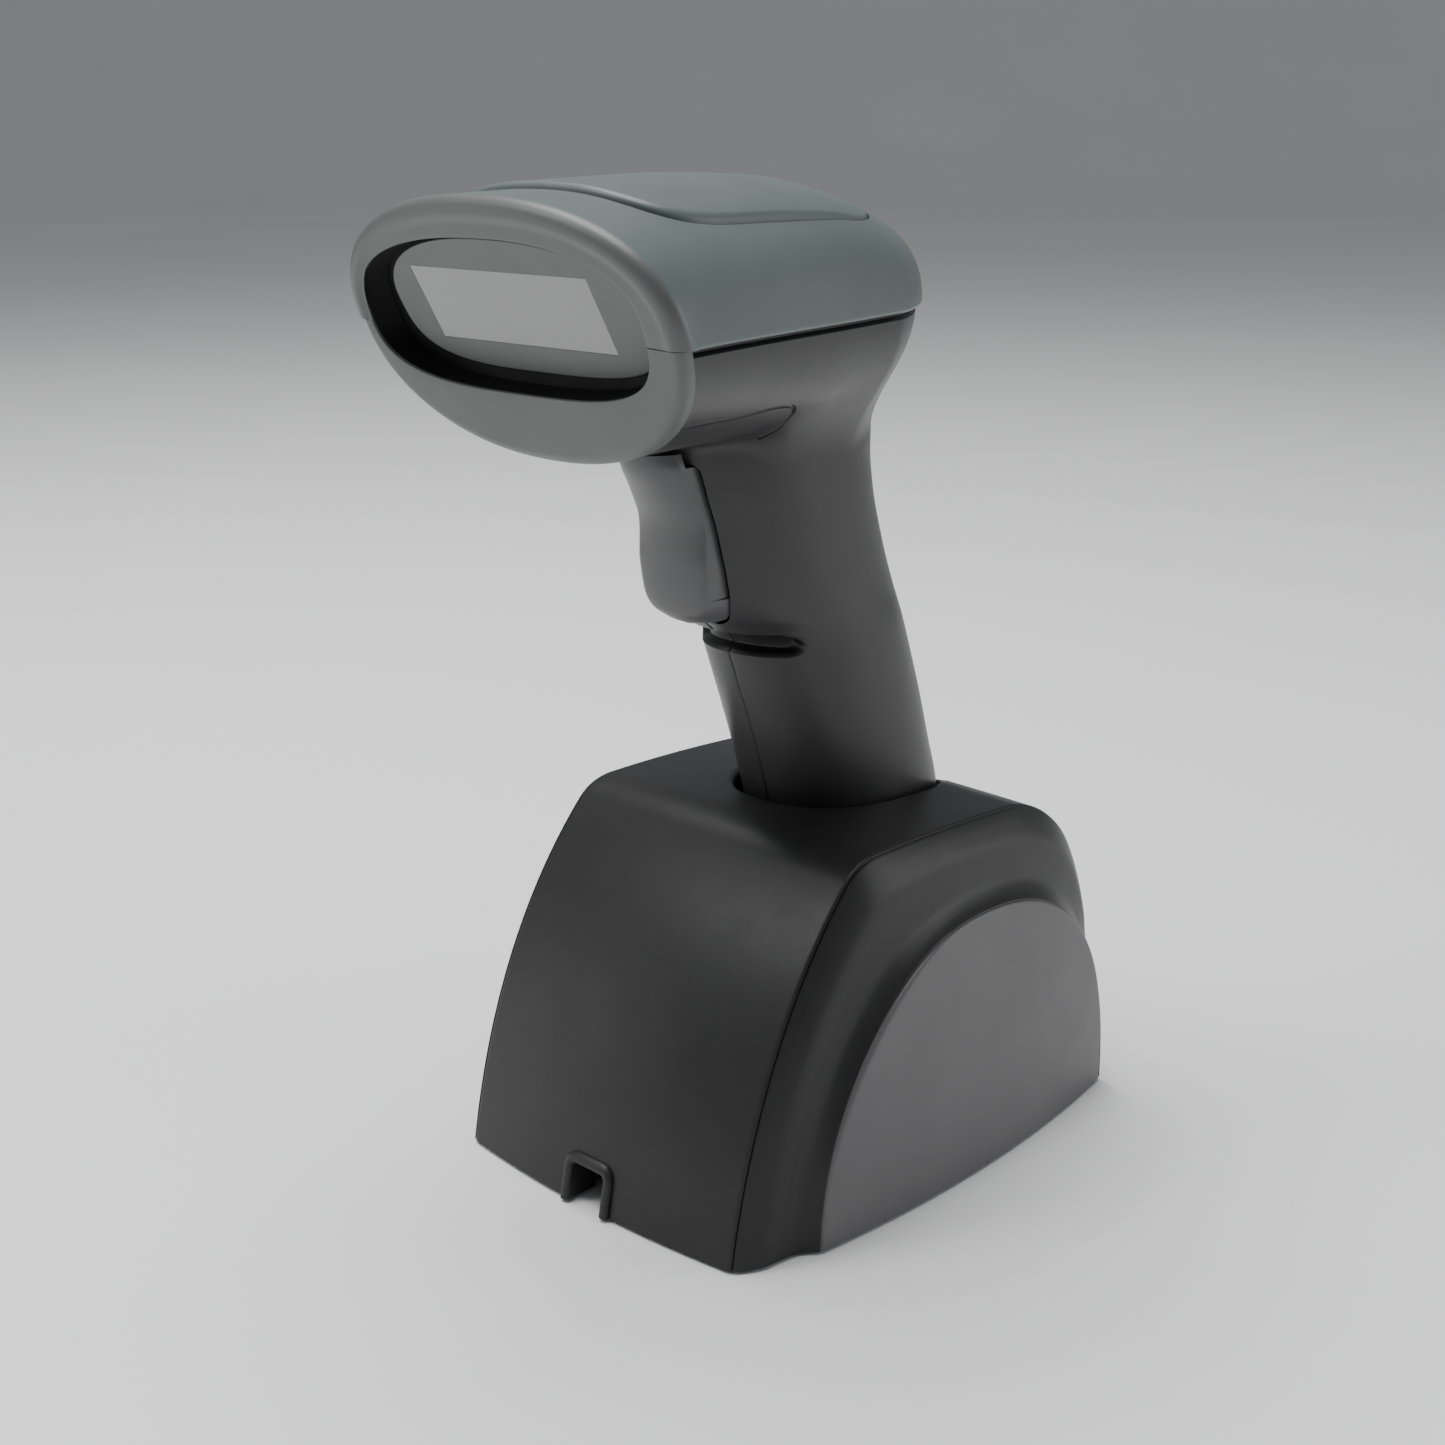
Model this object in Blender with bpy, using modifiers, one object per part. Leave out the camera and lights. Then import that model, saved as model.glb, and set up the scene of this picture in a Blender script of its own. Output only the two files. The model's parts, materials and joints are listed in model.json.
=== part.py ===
"""Cordless handheld barcode scanner standing in its desktop charging cradle.

Row frame: metres, +Z up, the scan window faces -Y. The origin is on the table, under the middle of
the object's box. All design sizes below are in millimetres; `place` turns them into metres. Design
depth (y) is counted from the cradle's front foot line, heights (z) from the table.
"""
import math

import bmesh
import bpy
import numpy as np
from mathutils import Matrix, Vector

MM = 0.001
ORIGIN_DEPTH = 37.35         # depth of the origin behind the cradle's front foot line
GAP = 0.3                    # clearance between touching pieces
WALL = 2.2                   # wall of the moulded shells
MERGE_DISTANCE = 1e-6        # metres; points closer than this are one point

# Cradle
FOOT_LIFT = 0.6              # how far the feet hold the shells off the table
SEAM_X = 30.0                # half width of the cradle's centre shell
DISC_X = 36.4                # half width of the cradle at the side panels' rims
DISC_BULGE = 3.2             # how far the side panels swell past their rims
CRADLE_REAR = 93.4
CRADLE_TOP = 59.4
FRONT_BOW = 2.1              # the centre shell's front swells this much at its middle
DISC_CENTRE = 53.2           # depth of the side panel's middle
DISC_HALF_FRONT = 39.6
DISC_HALF_REAR = 40.0
DISC_HEIGHT = 44.6
NOTCH_WIDTH = 9.0
NOTCH_HEIGHT = 7.4
MOUTH_HALF_X = 15.6          # mouth of the well in the cradle's top
MOUTH_HALF_Y = 20.3
MOUTH_ROUNDNESS = 2.6
PAD_X = 6.0                  # the charge contacts' places
PAD_Y = 67.0
SCREW_PLACES = ((-20.0, 26.0), (20.0, 26.0), (-20.0, 68.0), (20.0, 68.0))
FOOT_PLACES = ((-22.0, 13.0), (22.0, 13.0), (-25.0, 80.0), (25.0, 80.0))
FOOT_RADIUS = 5.0
PLATE_LOW = FOOT_LIFT + 1.0  # underside of the base plate
PLATE_HIGH = FOOT_LIFT + 3.0
BASE_OUTLINE = ((4.0, 26.5), (14.0, 31.0), (22.0, 33.0), (88.5, 33.0), (90.4, 27.0))  # depth, half width
FLANK_STEPS = (              # share of the way from the seam to the panel's rim, and how far out
    (0.0, 0.0), (0.16, 1.7), (0.34, 2.9), (0.6, 3.5), (0.82, 4.1), (0.94, 5.3), (1.0, 6.2),
)

# Scanner
LIFT_LEAN = 15.0             # degrees that the way out of the well leans forward
HANDLE_BOTTOM = 24.0
HANDLE_ROUNDNESS = 2.3
HANDLE_FRONT = (             # height, depth
    (24.0, 52.0), (40.0, 47.5), (50.0, 44.5), (59.0, 42.0), (66.0, 39.8), (73.0, 37.3), (81.0, 34.3),
    (88.0, 31.4), (91.5, 28.2), (94.0, 25.0), (99.0, 21.6), (104.0, 19.9), (110.0, 18.4), (115.0, 17.0),
    (122.0, 16.0),
)
HANDLE_REAR = (
    (24.0, 81.6), (40.0, 82.0), (50.0, 81.2), (59.0, 79.3), (65.0, 77.3), (73.0, 74.8), (88.0, 69.3),
    (104.0, 62.9), (112.0, 60.3), (119.0, 59.2), (141.0, 59.4),
)
HANDLE_HALF = ((24.0, 13.6), (50.0, 14.2), (73.0, 14.0), (88.0, 14.0), (104.0, 14.2), (120.0, 14.8))
NECK_FILLET = 7.0            # radius of the fillet between the handle and the head
NECK_FILLET_FRONT = 2.0      # the same above the trigger
SEAM_FRONT_Z = 140.8         # height of the head's seam at the face
SEAM_FRONT_Y = -13.0
SEAM_SLOPE = 0.008
SEAM_TAIL_Y = 62.0           # the seam turns up behind this depth
SEAM_TAIL_RISE = 0.01        # per square millimetre
HEAD_REAR = 75.0
HEAD_ROUND_FROM = 45.0       # depth where the head starts to close towards its tail
HEAD_HALF = ((-20.0, 34.9), (-14.0, 34.1), (0.0, 31.4), (15.0, 29.0), (29.0, 27.0), (45.0, 24.2))
CROWN = (                    # depth, height
    (-20.0, 159.4), (0.0, 160.0), (20.0, 160.5), (33.0, 160.5), (40.0, 159.6), (47.0, 158.0),
    (57.0, 155.0), (62.0, 153.0), (67.0, 149.8), (71.5, 146.0), (75.0, 143.4),
)
WIDTH_CLOSING = 1.25         # the lower these powers, the more pointed the tail
DEPTH_CLOSING = 1.2
TAIL_SHARE = 1.5             # the walls close this many times sooner at the pointed tail
HEAD_DOWN = 18.4             # depth of the lower shell below the seam
UPPER_ROUNDNESS = 2.3
LOWER_ROUNDNESS = 2.2
LOWER_INSET = 1.0            # the lower shell stands this far inside the cover
FACE_TILT = math.radians(20.0)
FACE_Y = -14.0               # depth of the face plane at FACE_Z
FACE_Z = 143.0
FACE_EDGE = 2.4              # rounding of the face's rim
BEZEL_DEPTH = 3.0
OPENING_LEFT = 30.2          # the face opening reaches further to the left than to the right
OPENING_RIGHT = 27.0
OPENING_Z = 143.0            # height of the face opening's widest place
OPENING_UP = 10.5
OPENING_DOWN = 11.0
PLATE_TOP_DEPTH = 0.3        # how far the window plate lies behind the face, at PLATE_TOP_Z
PLATE_TOP_Z = 153.5
PLATE_LEAN = 0.19            # how much deeper the plate lies for each millimetre down
PLATE_INSET = 0.7            # distance of the plate's edge from the opening's, at the top and the right
PLATE_INSET_LEFT = 6.0
PLATE_INSET_LOW = 1.7
PLATE_THICK = 1.6
WINDOW_HALF_X = 18.0
WINDOW_LOW_Z = 137.6
WINDOW_HIGH_Z = 148.6
PANEL_HALF_X = 23.0          # top panel
PANEL_TAPER = 0.08
PANEL_FRONT = -6.0
PANEL_REAR = 48.5
PANEL_GROW = 0.5
PANEL_RISE = 0.9
PANEL_DEPTH = 0.7
SCREW_CLEARANCE = 1.45       # radius of the shell screws' holes
SHELL_SCREWS = (             # depth, height, reach of the boss from the parting plane
    (53.0, 129.0, 14.0), (70.0, 31.5, 12.4),
)
BATTERY_LOW = (66.3, 41.5)   # depth and height of the battery's lower end
BATTERY_LENGTH = 64.0
ENGINE_FRONT = 2.0
ENGINE_Z = 146.5
ENGINE_OPTICS = (            # name, place across, reach in front of the engine, radius
    ("engine_lens", 0.0, 3.5, 3.6),
    ("illumination_led_left", -8.5, 2.2, 1.8),
    ("illumination_led_right", 8.5, 2.2, 1.8),
)

# Trigger
TRIGGER_PIVOT_Y = 24.0
TRIGGER_PIVOT_Z = 117.0
TRIGGER_BACK_Y = 27.0
SLOT_GAP = 0.7               # gap between the trigger and the edge of its slot
SLOT_HIGH_Z = 120.0
SWITCH_Z = 104.0
PLUNGER_RADIUS = 1.5
PIN_REACH = 10.2             # half length of the trigger's pin
TRIGGER_SHAPE = (            # height, front depth at the middle, front depth at the edge, half width
    (93.5, 22.4, 24.2, 3.2),
    (94.3, 20.6, 23.6, 5.0),
    (96.0, 18.9, 22.6, 6.3),
    (99.0, 18.3, 22.2, 7.2),
    (103.5, 17.8, 21.2, 7.5),
    (109.5, 16.8, 19.8, 7.4),
    (115.0, 13.8, 17.0, 7.1),
    (119.3, 10.8, 14.2, 6.5),
)
TRIGGER_CAP = (              # the same for its top, which stands in front of the handle
    (119.4, 10.7, 13.6, 6.4),
    (121.4, 9.9, 12.9, 5.6),
)
TRIGGER_CAP_BACK_Y = 15.0

# Mesh detail
BODY_LEVELS = (24.0, 36.0, 50.0, 62.0, 74.0, 86.0, 90.0, 93.5, 98.0, 106.0, 113.0, 116.0, 118.5, 120.4,
               121.6, 122.6, 123.8, 125.6, 128.0, 131.0, 134.5, 138.0, None)
BODY_ANGLES = (0, 20, 40, 60, 75, 90, 105, 120, 140, 160, 180, 200, 220, 235, 247, 256, 262, 266, 270,
               274, 278, 284, 293, 305, 320, 340)
COVER_STATIONS = (75.0, 74.3, 72.5, 69.5, 65.0, 59.0, 52.0, 45.0, 38.0, 28.0, 14.0, 2.0, -9.0)

NAME = "barcode_scanner"


# ---------------------------------------------------------------- scene and materials

def clear_scene():
    for item in list(bpy.data.objects):
        bpy.data.objects.remove(item, do_unlink=True)


def collection(name):
    made = bpy.data.collections.new(name)
    bpy.context.scene.collection.children.link(made)
    return made


def material(name, colour, roughness, metallic=0.0):
    made = bpy.data.materials.new(name)
    made.use_nodes = True
    shader = made.node_tree.nodes["Principled BSDF"]
    shader.inputs["Base Color"].default_value = (*colour, 1.0)
    shader.inputs["Roughness"].default_value = roughness
    shader.inputs["Metallic"].default_value = metallic
    made.diffuse_color = (*colour, 1.0)
    return made


clear_scene()
PARTS = collection(NAME)
CUTTERS = collection("cutters")
COVER_GREEN = material("cover_green", (0.17, 0.20, 0.20), 0.45)
SHELL_DARK = material("shell_dark", (0.06, 0.06, 0.062), 0.5)
FACE_GREY = material("face_grey", (0.13, 0.13, 0.13), 0.5)
RECESS_BLACK = material("recess_black", (0.01, 0.01, 0.01), 0.6)
WINDOW = material("window_frosted", (0.35, 0.35, 0.35), 0.3)
PANEL_GREY = material("panel_grey", (0.20, 0.20, 0.21), 0.5)
RUBBER = material("rubber", (0.02, 0.02, 0.02), 0.9)
STEEL = material("steel", (0.55, 0.55, 0.55), 0.35, 1.0)
BRASS = material("contact_brass", (0.75, 0.55, 0.22), 0.3, 1.0)
BOARD = material("circuit_board", (0.02, 0.16, 0.07), 0.5)
COMPONENT = material("component_black", (0.03, 0.03, 0.03), 0.4)
LENS_GLASS = material("lens_glass", (0.3, 0.3, 0.32), 0.1)
CELL = material("battery_wrap", (0.08, 0.2, 0.45), 0.4)
INNER = material("inner_plastic", (0.05, 0.05, 0.05), 0.6)


# ---------------------------------------------------------------- small helpers

def place(x, y, z):
    """Design millimetres to row-frame metres."""
    return Vector((x, y - ORIGIN_DEPTH, z)) * MM


def smooth_shade(obj, angle=35.0):
    obj.data.shade_smooth()
    obj.data.set_sharp_from_angle(angle=math.radians(angle))


def add_object(name, mesh, mat, group=PARTS):
    obj = bpy.data.objects.new(name, mesh)
    group.objects.link(obj)
    mesh.materials.append(mat)
    if group is CUTTERS:
        obj.hide_render = True
        obj.display_type = "WIRE"
    return obj


def finish_mesh(name, bm, mat, group=PARTS):
    """Merges doubled points, turns the faces outward and makes the object."""
    bmesh.ops.remove_doubles(bm, verts=bm.verts, dist=MERGE_DISTANCE)
    bmesh.ops.dissolve_degenerate(bm, edges=bm.edges, dist=1e-7)
    ngons = [f for f in bm.faces if len(f.verts) > 4]
    if ngons:
        bmesh.ops.triangulate(bm, faces=ngons, ngon_method="EAR_CLIP")
    bmesh.ops.recalc_face_normals(bm, faces=bm.faces)
    mesh = bpy.data.meshes.new(name)
    bm.to_mesh(mesh)
    bm.free()
    obj = add_object(name, mesh, mat, group)
    smooth_shade(obj)
    return obj


def strip_cap(bm, ring):
    """Caps a ring that runs out along one side of a wall and back along its other side."""
    last = len(ring) - 1
    for i in range(len(ring) // 2 - 1):
        bm.faces.new((ring[i], ring[i + 1], ring[last - i - 1], ring[last - i]))


def loft(name, rings, mat, wrap=True, close=False, strip=False, group=PARTS):
    """Joins rings of design points. wrap closes each ring, close joins the last ring to the first."""
    bm = bmesh.new()
    rows = [[bm.verts.new(place(*p)) for p in ring] for ring in rings]
    count = len(rows[0])
    pairs = list(zip(rows, rows[1:]))
    if close:
        pairs.append((rows[-1], rows[0]))
    for lower, upper in pairs:
        for i in range(count if wrap else count - 1):
            j = (i + 1) % count
            bm.faces.new((lower[i], lower[j], upper[j], upper[i]))
    if strip:
        strip_cap(bm, rows[0])
        strip_cap(bm, rows[-1])
    elif not close:
        bm.faces.new(list(reversed(rows[0])))
        bm.faces.new(rows[-1])
    return finish_mesh(name, bm, mat, group)


def box(name, centre, size, mat, group=PARTS, bevel=0.0, tilt=None):
    """A box by its design centre and size, with rounded edges; tilt turns it about its centre."""
    bm = bmesh.new()
    bmesh.ops.create_cube(bm, size=1.0)
    bmesh.ops.scale(bm, vec=Vector(size) * MM, verts=bm.verts)
    mesh = bpy.data.meshes.new(name)
    bm.to_mesh(mesh)
    bm.free()
    obj = add_object(name, mesh, mat, group)
    obj.location = place(*centre)
    if tilt is not None:
        obj.rotation_euler = tilt.to_euler()
    if bevel:
        edge = obj.modifiers.new("edge", "BEVEL")
        edge.width = bevel * MM
        edge.segments = 2
    return obj


def rod(name, start, end, radius, mat, group=PARTS, sides=20):
    """A cylinder between two design points."""
    a = place(*start)
    b = place(*end)
    bm = bmesh.new()
    bmesh.ops.create_cone(bm, cap_ends=True, segments=sides, radius1=radius * MM, radius2=radius * MM,
                          depth=(b - a).length)
    mesh = bpy.data.meshes.new(name)
    bm.to_mesh(mesh)
    bm.free()
    obj = add_object(name, mesh, mat, group)
    obj.location = (a + b) / 2
    obj.rotation_euler = (b - a).to_track_quat("Z", "Y").to_euler()
    smooth_shade(obj)
    return obj


def boolean(obj, cutter, operation="DIFFERENCE"):
    step = obj.modifiers.new(operation.lower(), "BOOLEAN")
    step.operation = operation
    step.object = cutter
    step.solver = "EXACT"


def turned(name, profile, at, mat, sides=24, turn=(0.0, 0.0, 0.0)):
    """A solid turned about an axis through `at`; profile is (radius, height) from the lowest point up."""
    outline = [(0.0, profile[-1][1])] + list(reversed(profile)) + [(0.0, profile[0][1])]
    mesh = bpy.data.meshes.new(name)
    edges = [(i, i + 1) for i in range(len(outline) - 1)]
    mesh.from_pydata([(radius * MM, 0.0, height * MM) for radius, height in outline], edges, [])
    obj = add_object(name, mesh, mat)
    obj.location = place(*at)
    obj.rotation_euler = turn
    screw = obj.modifiers.new("turn", "SCREW")
    screw.axis = "Z"
    screw.steps = sides
    screw.render_steps = sides
    screw.use_merge_vertices = True
    screw.merge_threshold = MERGE_DISTANCE
    return obj


def flat_piece(name, outline, low, high, mat, group=PARTS, upright=False):
    """A plate with a flat outline, between two heights, or between two depths if it stands upright."""
    curve = bpy.data.curves.new(name, "CURVE")
    curve.dimensions = "2D"
    curve.fill_mode = "BOTH"
    curve.extrude = (high - low) / 2 * MM
    spline = curve.splines.new("POLY")
    spline.points.add(len(outline) - 1)
    for point, (across, along) in zip(spline.points, outline):
        depth = along if upright else along - ORIGIN_DEPTH
        point.co = (across * MM, depth * MM, 0.0, 1.0)
    spline.use_cyclic_u = True
    shape = bpy.data.objects.new(name, curve)
    if upright:
        shape.location = (0.0, ((low + high) / 2 - ORIGIN_DEPTH) * MM, 0.0)
        shape.rotation_euler = (math.pi / 2, 0.0, 0.0)
    else:
        shape.location = (0.0, 0.0, (low + high) / 2 * MM)
    group.objects.link(shape)
    bpy.context.view_layer.update()
    mesh = bpy.data.meshes.new_from_object(shape.evaluated_get(bpy.context.evaluated_depsgraph_get()))
    welded = bmesh.new()
    welded.from_mesh(mesh)
    bmesh.ops.remove_doubles(welded, verts=welded.verts, dist=MERGE_DISTANCE)
    bmesh.ops.recalc_face_normals(welded, faces=welded.faces)
    welded.to_mesh(mesh)
    welded.free()
    where = shape.matrix_world.copy()
    bpy.data.objects.remove(shape)
    obj = add_object(name, mesh, mat, group)
    obj.matrix_world = where
    return obj


def curve_through(points, at):
    """Smooth interpolation (monotone cubic) of (position, value) pairs."""
    xs = [p[0] for p in points]
    ys = [p[1] for p in points]
    if at <= xs[0]:
        return ys[0]
    if at >= xs[-1]:
        return ys[-1]
    i = max(k for k in range(len(xs) - 1) if xs[k] <= at)
    slopes = [(ys[k + 1] - ys[k]) / (xs[k + 1] - xs[k]) for k in range(len(xs) - 1)]

    def tangent(k):
        if k == 0:
            return slopes[0]
        if k == len(xs) - 1:
            return slopes[-1]
        if slopes[k - 1] * slopes[k] <= 0:
            return 0.0
        return 2 * slopes[k - 1] * slopes[k] / (slopes[k - 1] + slopes[k])

    width = xs[i + 1] - xs[i]
    t = (at - xs[i]) / width
    return ((2 * t**3 - 3 * t**2 + 1) * ys[i] + (t**3 - 2 * t**2 + t) * width * tangent(i)
            + (3 * t**2 - 2 * t**3) * ys[i + 1] + (t**3 - t**2) * width * tangent(i + 1))


def squircle(angle, half_x, half_y, roundness):
    """A point of a superellipse, angle counted from +X."""
    c = math.cos(angle)
    s = math.sin(angle)
    power = 2.0 / roundness
    return (half_x * math.copysign(abs(c) ** power, c), half_y * math.copysign(abs(s) ** power, s))


# ---------------------------------------------------------------- cradle outlines

def bezier(a, b, c, steps):
    """Points of a quadratic arc from a to c with control b, without its last point."""
    made = []
    for i in range(steps):
        t = i / steps
        made.append(tuple((1 - t) ** 2 * a[k] + 2 * t * (1 - t) * b[k] + t * t * c[k] for k in (0, 1)))
    return made


def saddle_outline():
    """The cradle's side outline (depth, height) from the front foot, over the top, to the rear foot."""
    z0 = FOOT_LIFT
    knee = (26.5, CRADLE_TOP - 2.8)
    lip = (34.5, CRADLE_TOP)
    crest = (71.0, CRADLE_TOP - 1.6)
    heel = (CRADLE_REAR - 0.9, 34.0)
    points = bezier((0.0, z0), (6.0, 36.0), knee, 8)
    points += bezier(knee, (29.4, CRADLE_TOP), lip, 4)
    points += bezier(lip, (53.0, CRADLE_TOP), crest, 3)
    points += bezier(crest, (CRADLE_REAR - 4.0, CRADLE_TOP - 5.5), heel, 8)
    points += bezier(heel, (CRADLE_REAR - 0.2, 18.0), (CRADLE_REAR, z0), 3)
    return points + [(CRADLE_REAR, z0)]


def outline_normals(points):
    """Unit normals of an open outline, pointing out of the cradle."""
    made = []
    for i in range(len(points)):
        a = points[max(i - 1, 0)]
        b = points[min(i + 1, len(points) - 1)]
        dy = b[0] - a[0]
        dz = b[1] - a[1]
        size = math.hypot(dy, dz)
        made.append((-dz / size, dy / size))
    return made


def inset_outline(points, inset):
    """The outline moved inward, its ends kept on the foot line."""
    moved = [(p[0] - n[0] * inset, p[1] - n[1] * inset) for p, n in zip(points, outline_normals(points))]
    moved[0] = (points[0][0] + inset, points[0][1])
    moved[-1] = (points[-1][0] - inset, points[-1][1])
    return moved


def disc_radius(angle, grow=0.0):
    """Radius of the side panel's outline about (DISC_CENTRE, FOOT_LIFT)."""
    c = math.cos(angle)
    s = max(math.sin(angle), 0.0)
    half = DISC_HALF_REAR if c > 0 else DISC_HALF_FRONT
    power = 2.35 if c > 0 else 2.0
    return (abs(c / half) ** power + (s / DISC_HEIGHT) ** power) ** (-1 / power) + grow


def saddle_polar():
    """The side outline as (angle, radius) about the side panel's middle."""
    made = []
    for y, z in saddle_outline():
        made.append((math.atan2(z - FOOT_LIFT, y - DISC_CENTRE), math.hypot(z - FOOT_LIFT, y - DISC_CENTRE)))
    return made


# ---------------------------------------------------------------- cradle

def cradle_bow(y, x):
    """How far the centre shell swells outward at x, most at the front."""
    front = max(0.0, min(1.0, (40.0 - y) / 40.0))
    return (0.5 + (FRONT_BOW - 0.5) * front) * (1 - (x / SEAM_X) ** 2)


def centre_shell():
    outer = saddle_outline()
    inner = inset_outline(outer, WALL)
    normals = outline_normals(outer)
    normals[0] = (-1.0, 0.0)
    normals[-1] = (1.0, 0.0)
    rings = []
    edge = SEAM_X - GAP / 2
    for x in (-edge, -20.0, -10.0, 0.0, 10.0, 20.0, edge):
        ring = []
        for row in (list(zip(outer, normals)), list(reversed(list(zip(inner, normals))))):
            for (y, z), n in row:
                bow = cradle_bow(y, x)
                ring.append((x, y + n[0] * bow, z + n[1] * bow))
        rings.append(ring)
    return loft("cradle_centre_shell", rings, SHELL_DARK, strip=True)


def well_cutter():
    """Prism along the way out, that opens the well's mouth in the cradle's top."""
    lean = math.tan(math.radians(LIFT_LEAN))
    rings = []
    for z in (42.0, 78.0):
        middle = handle_middle(CRADLE_TOP) - (z - CRADLE_TOP) * lean
        ring = []
        for i in range(32):
            x, y = squircle(2 * math.pi * i / 32, MOUTH_HALF_X, MOUTH_HALF_Y, MOUTH_ROUNDNESS)
            ring.append((x, middle + y, z))
        rings.append(ring)
    return loft("well_cutter", rings, SHELL_DARK, group=CUTTERS)


def flank_ring(angle, radius, side):
    """One closed cut through a flank: out from the seam, down the channel, up to the panel's rim."""
    rim = disc_radius(angle, GAP)
    radius = max(radius, rim + 0.4)
    outer = [(SEAM_X + GAP / 2 + x, radius + (rim - radius) * share) for share, x in FLANK_STEPS]
    inner = [(SEAM_X + GAP / 2, radius - WALL - 0.3)]
    inner.append((SEAM_X + 1.3, radius + (rim - radius) * 0.42 - WALL))
    inner.append((SEAM_X + 2.2, radius + (rim - radius) * 0.9 - WALL))
    inner.append((DISC_X - WALL - 0.4, rim - WALL))
    inner.append((DISC_X - WALL - 0.2, rim - 0.2))
    inner[1] = (inner[1][0], min(inner[1][1], inner[0][1] - 0.3))
    inner[2] = (inner[2][0], min(inner[2][1], inner[1][1] - 0.3))
    inner[3] = (inner[3][0], min(inner[3][1], inner[2][1] - 0.2))
    outer.append((DISC_X, rim))
    path = outer + list(reversed(inner))
    return [(side * x, DISC_CENTRE + r * math.cos(angle), FOOT_LIFT + r * math.sin(angle)) for x, r in path]


def flank(name, side):
    rings = [flank_ring(angle, radius, side) for angle, radius in saddle_polar()]
    return loft(name, rings, SHELL_DARK)


def disc_point(angle, share, side, sink):
    """A point of the domed side panel; share runs from its middle (0) to its rim (1)."""
    r = disc_radius(angle, -GAP) * share
    y = r * math.cos(angle)
    z = r * math.sin(angle)
    half = DISC_HALF_REAR if y > 0 else DISC_HALF_FRONT
    swell = DISC_BULGE * max(0.0, 1 - (y / half) ** 2) * max(0.0, 1 - (z / DISC_HEIGHT) ** 2)
    return (side * (DISC_X + 0.1 + swell - sink), DISC_CENTRE + y, FOOT_LIFT + z)


def side_panel(name, side):
    steps = 20
    angles = [math.pi * i / steps for i in range(steps + 1)]
    shares = (0.02, 0.35, 0.65, 0.88, 1.0)
    rings = []
    for angle in angles:
        ring = [disc_point(angle, share, side, 0.0) for share in shares]
        ring += [disc_point(angle, share, side, 1.9) for share in reversed(shares)]
        rings.append(ring)
    return loft(name, rings, PANEL_GREY)


def base_plate():
    right = [(half, y) for y, half in BASE_OUTLINE]
    left = [(-half, y) for y, half in reversed(BASE_OUTLINE)]
    plate = flat_piece("base_plate", right + left, PLATE_LOW, PLATE_HIGH, INNER)
    boolean(plate, box("cable_slot", (0.0, 8.0, 2.6), (11.0, 16.0, 6.0), INNER, CUTTERS))
    for i, (x, y) in enumerate(SCREW_PLACES):
        boolean(plate, rod(f"base_screw_hole_{i}", (x, y, 0.0), (x, y, 6.0), 1.7, INNER, CUTTERS, 12))
        boolean(plate, rod(f"base_screw_sink_{i}", (x, y, 0.0), (x, y, 2.6), 2.9, INNER, CUTTERS, 16))
    return plate


def rubber_foot(name, x, y):
    profile = ((FOOT_RADIUS - 0.8, 0.0), (FOOT_RADIUS, 0.4), (FOOT_RADIUS, PLATE_LOW - GAP))
    return turned(name, profile, (x, y, 0.0), RUBBER, 20)


def base_screw(name, x, y):
    profile = ((2.5, 1.0), (2.5, 2.3), (1.4, 2.3), (1.4, 7.0))
    return turned(name, profile, (x, y, 0.0), STEEL, 14)


def ballast():
    plate = box("ballast_plate", (0.0, 48.2, 5.7), (54.0, 51.6, 3.4), STEEL)
    for i, (x, y) in enumerate(SCREW_PLACES):
        boolean(plate, rod(f"ballast_hole_{i}", (x, y, 2.0), (x, y, 9.0), 1.7, INNER, CUTTERS, 12))
    return plate


def notch_frame():
    """Thin raised rim round the cable notch: an arch that follows the notch's two sides and top."""
    half = NOTCH_WIDTH / 2 - GAP
    top = FOOT_LIFT + NOTCH_HEIGHT - GAP
    thick = 0.9
    arch = ((-half, FOOT_LIFT), (-half, top), (half, top), (half, FOOT_LIFT),
            (half - thick, FOOT_LIFT), (half - thick, top - thick), (thick - half, top - thick),
            (thick - half, FOOT_LIFT))
    return flat_piece("cable_notch_frame", arch, -2.2, 3.4, SHELL_DARK, upright=True)


def cable_socket():
    body = box("cable_socket", (0.0, 16.5, 8.2), (9.4, 10.0, 5.0), COMPONENT)
    boolean(body, box("socket_mouth", (0.0, 13.0, 8.2), (7.4, 8.0, 3.4), COMPONENT, CUTTERS))
    return body


def cradle_board():
    return box("cradle_board", (0.0, 46.0, 8.8), (44.0, 47.6, 1.2), BOARD)


def handle_cup():
    """The well: a cup round the handle's lower end, with a floor that the spring pins come through."""
    rings = []
    floor = HANDLE_BOTTOM - 3.4
    for grow, z in ((2.6, floor - 1.6), (2.6, 34.0), (2.7, 46.0), (1.3, 46.0), (1.2, 34.0), (1.0, floor)):
        rings.append(handle_ring(z, grow, 28))
    cup = loft("handle_cup", rings, INNER)
    for i, x in enumerate((-PAD_X, PAD_X)):
        boolean(cup, rod(f"cup_pin_hole_{i}", (x, PAD_Y, 10.0), (x, PAD_Y, 30.0), 1.8, INNER, CUTTERS, 16))
    return cup


def pin_block():
    block = box("pin_block", (0.0, PAD_Y, 14.0), (20.0, 8.0, 8.0), COMPONENT)
    for i, x in enumerate((-PAD_X, PAD_X)):
        boolean(block, rod(f"block_pin_hole_{i}", (x, PAD_Y, 5.0), (x, PAD_Y, 25.0), 1.7, INNER, CUTTERS, 16))
    return block


def charge_pin(name, x):
    top = HANDLE_BOTTOM - 1.4 - GAP
    profile = ((0.9, 12.0), (1.3, 12.4), (1.3, top - 0.7), (0.7, top))
    return turned(name, profile, (x, PAD_Y, 0.0), BRASS, 16)


# ---------------------------------------------------------------- handle and lower head

def handle_middle(z):
    return (curve_through(HANDLE_FRONT, z) + curve_through(HANDLE_REAR, z)) / 2


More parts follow.
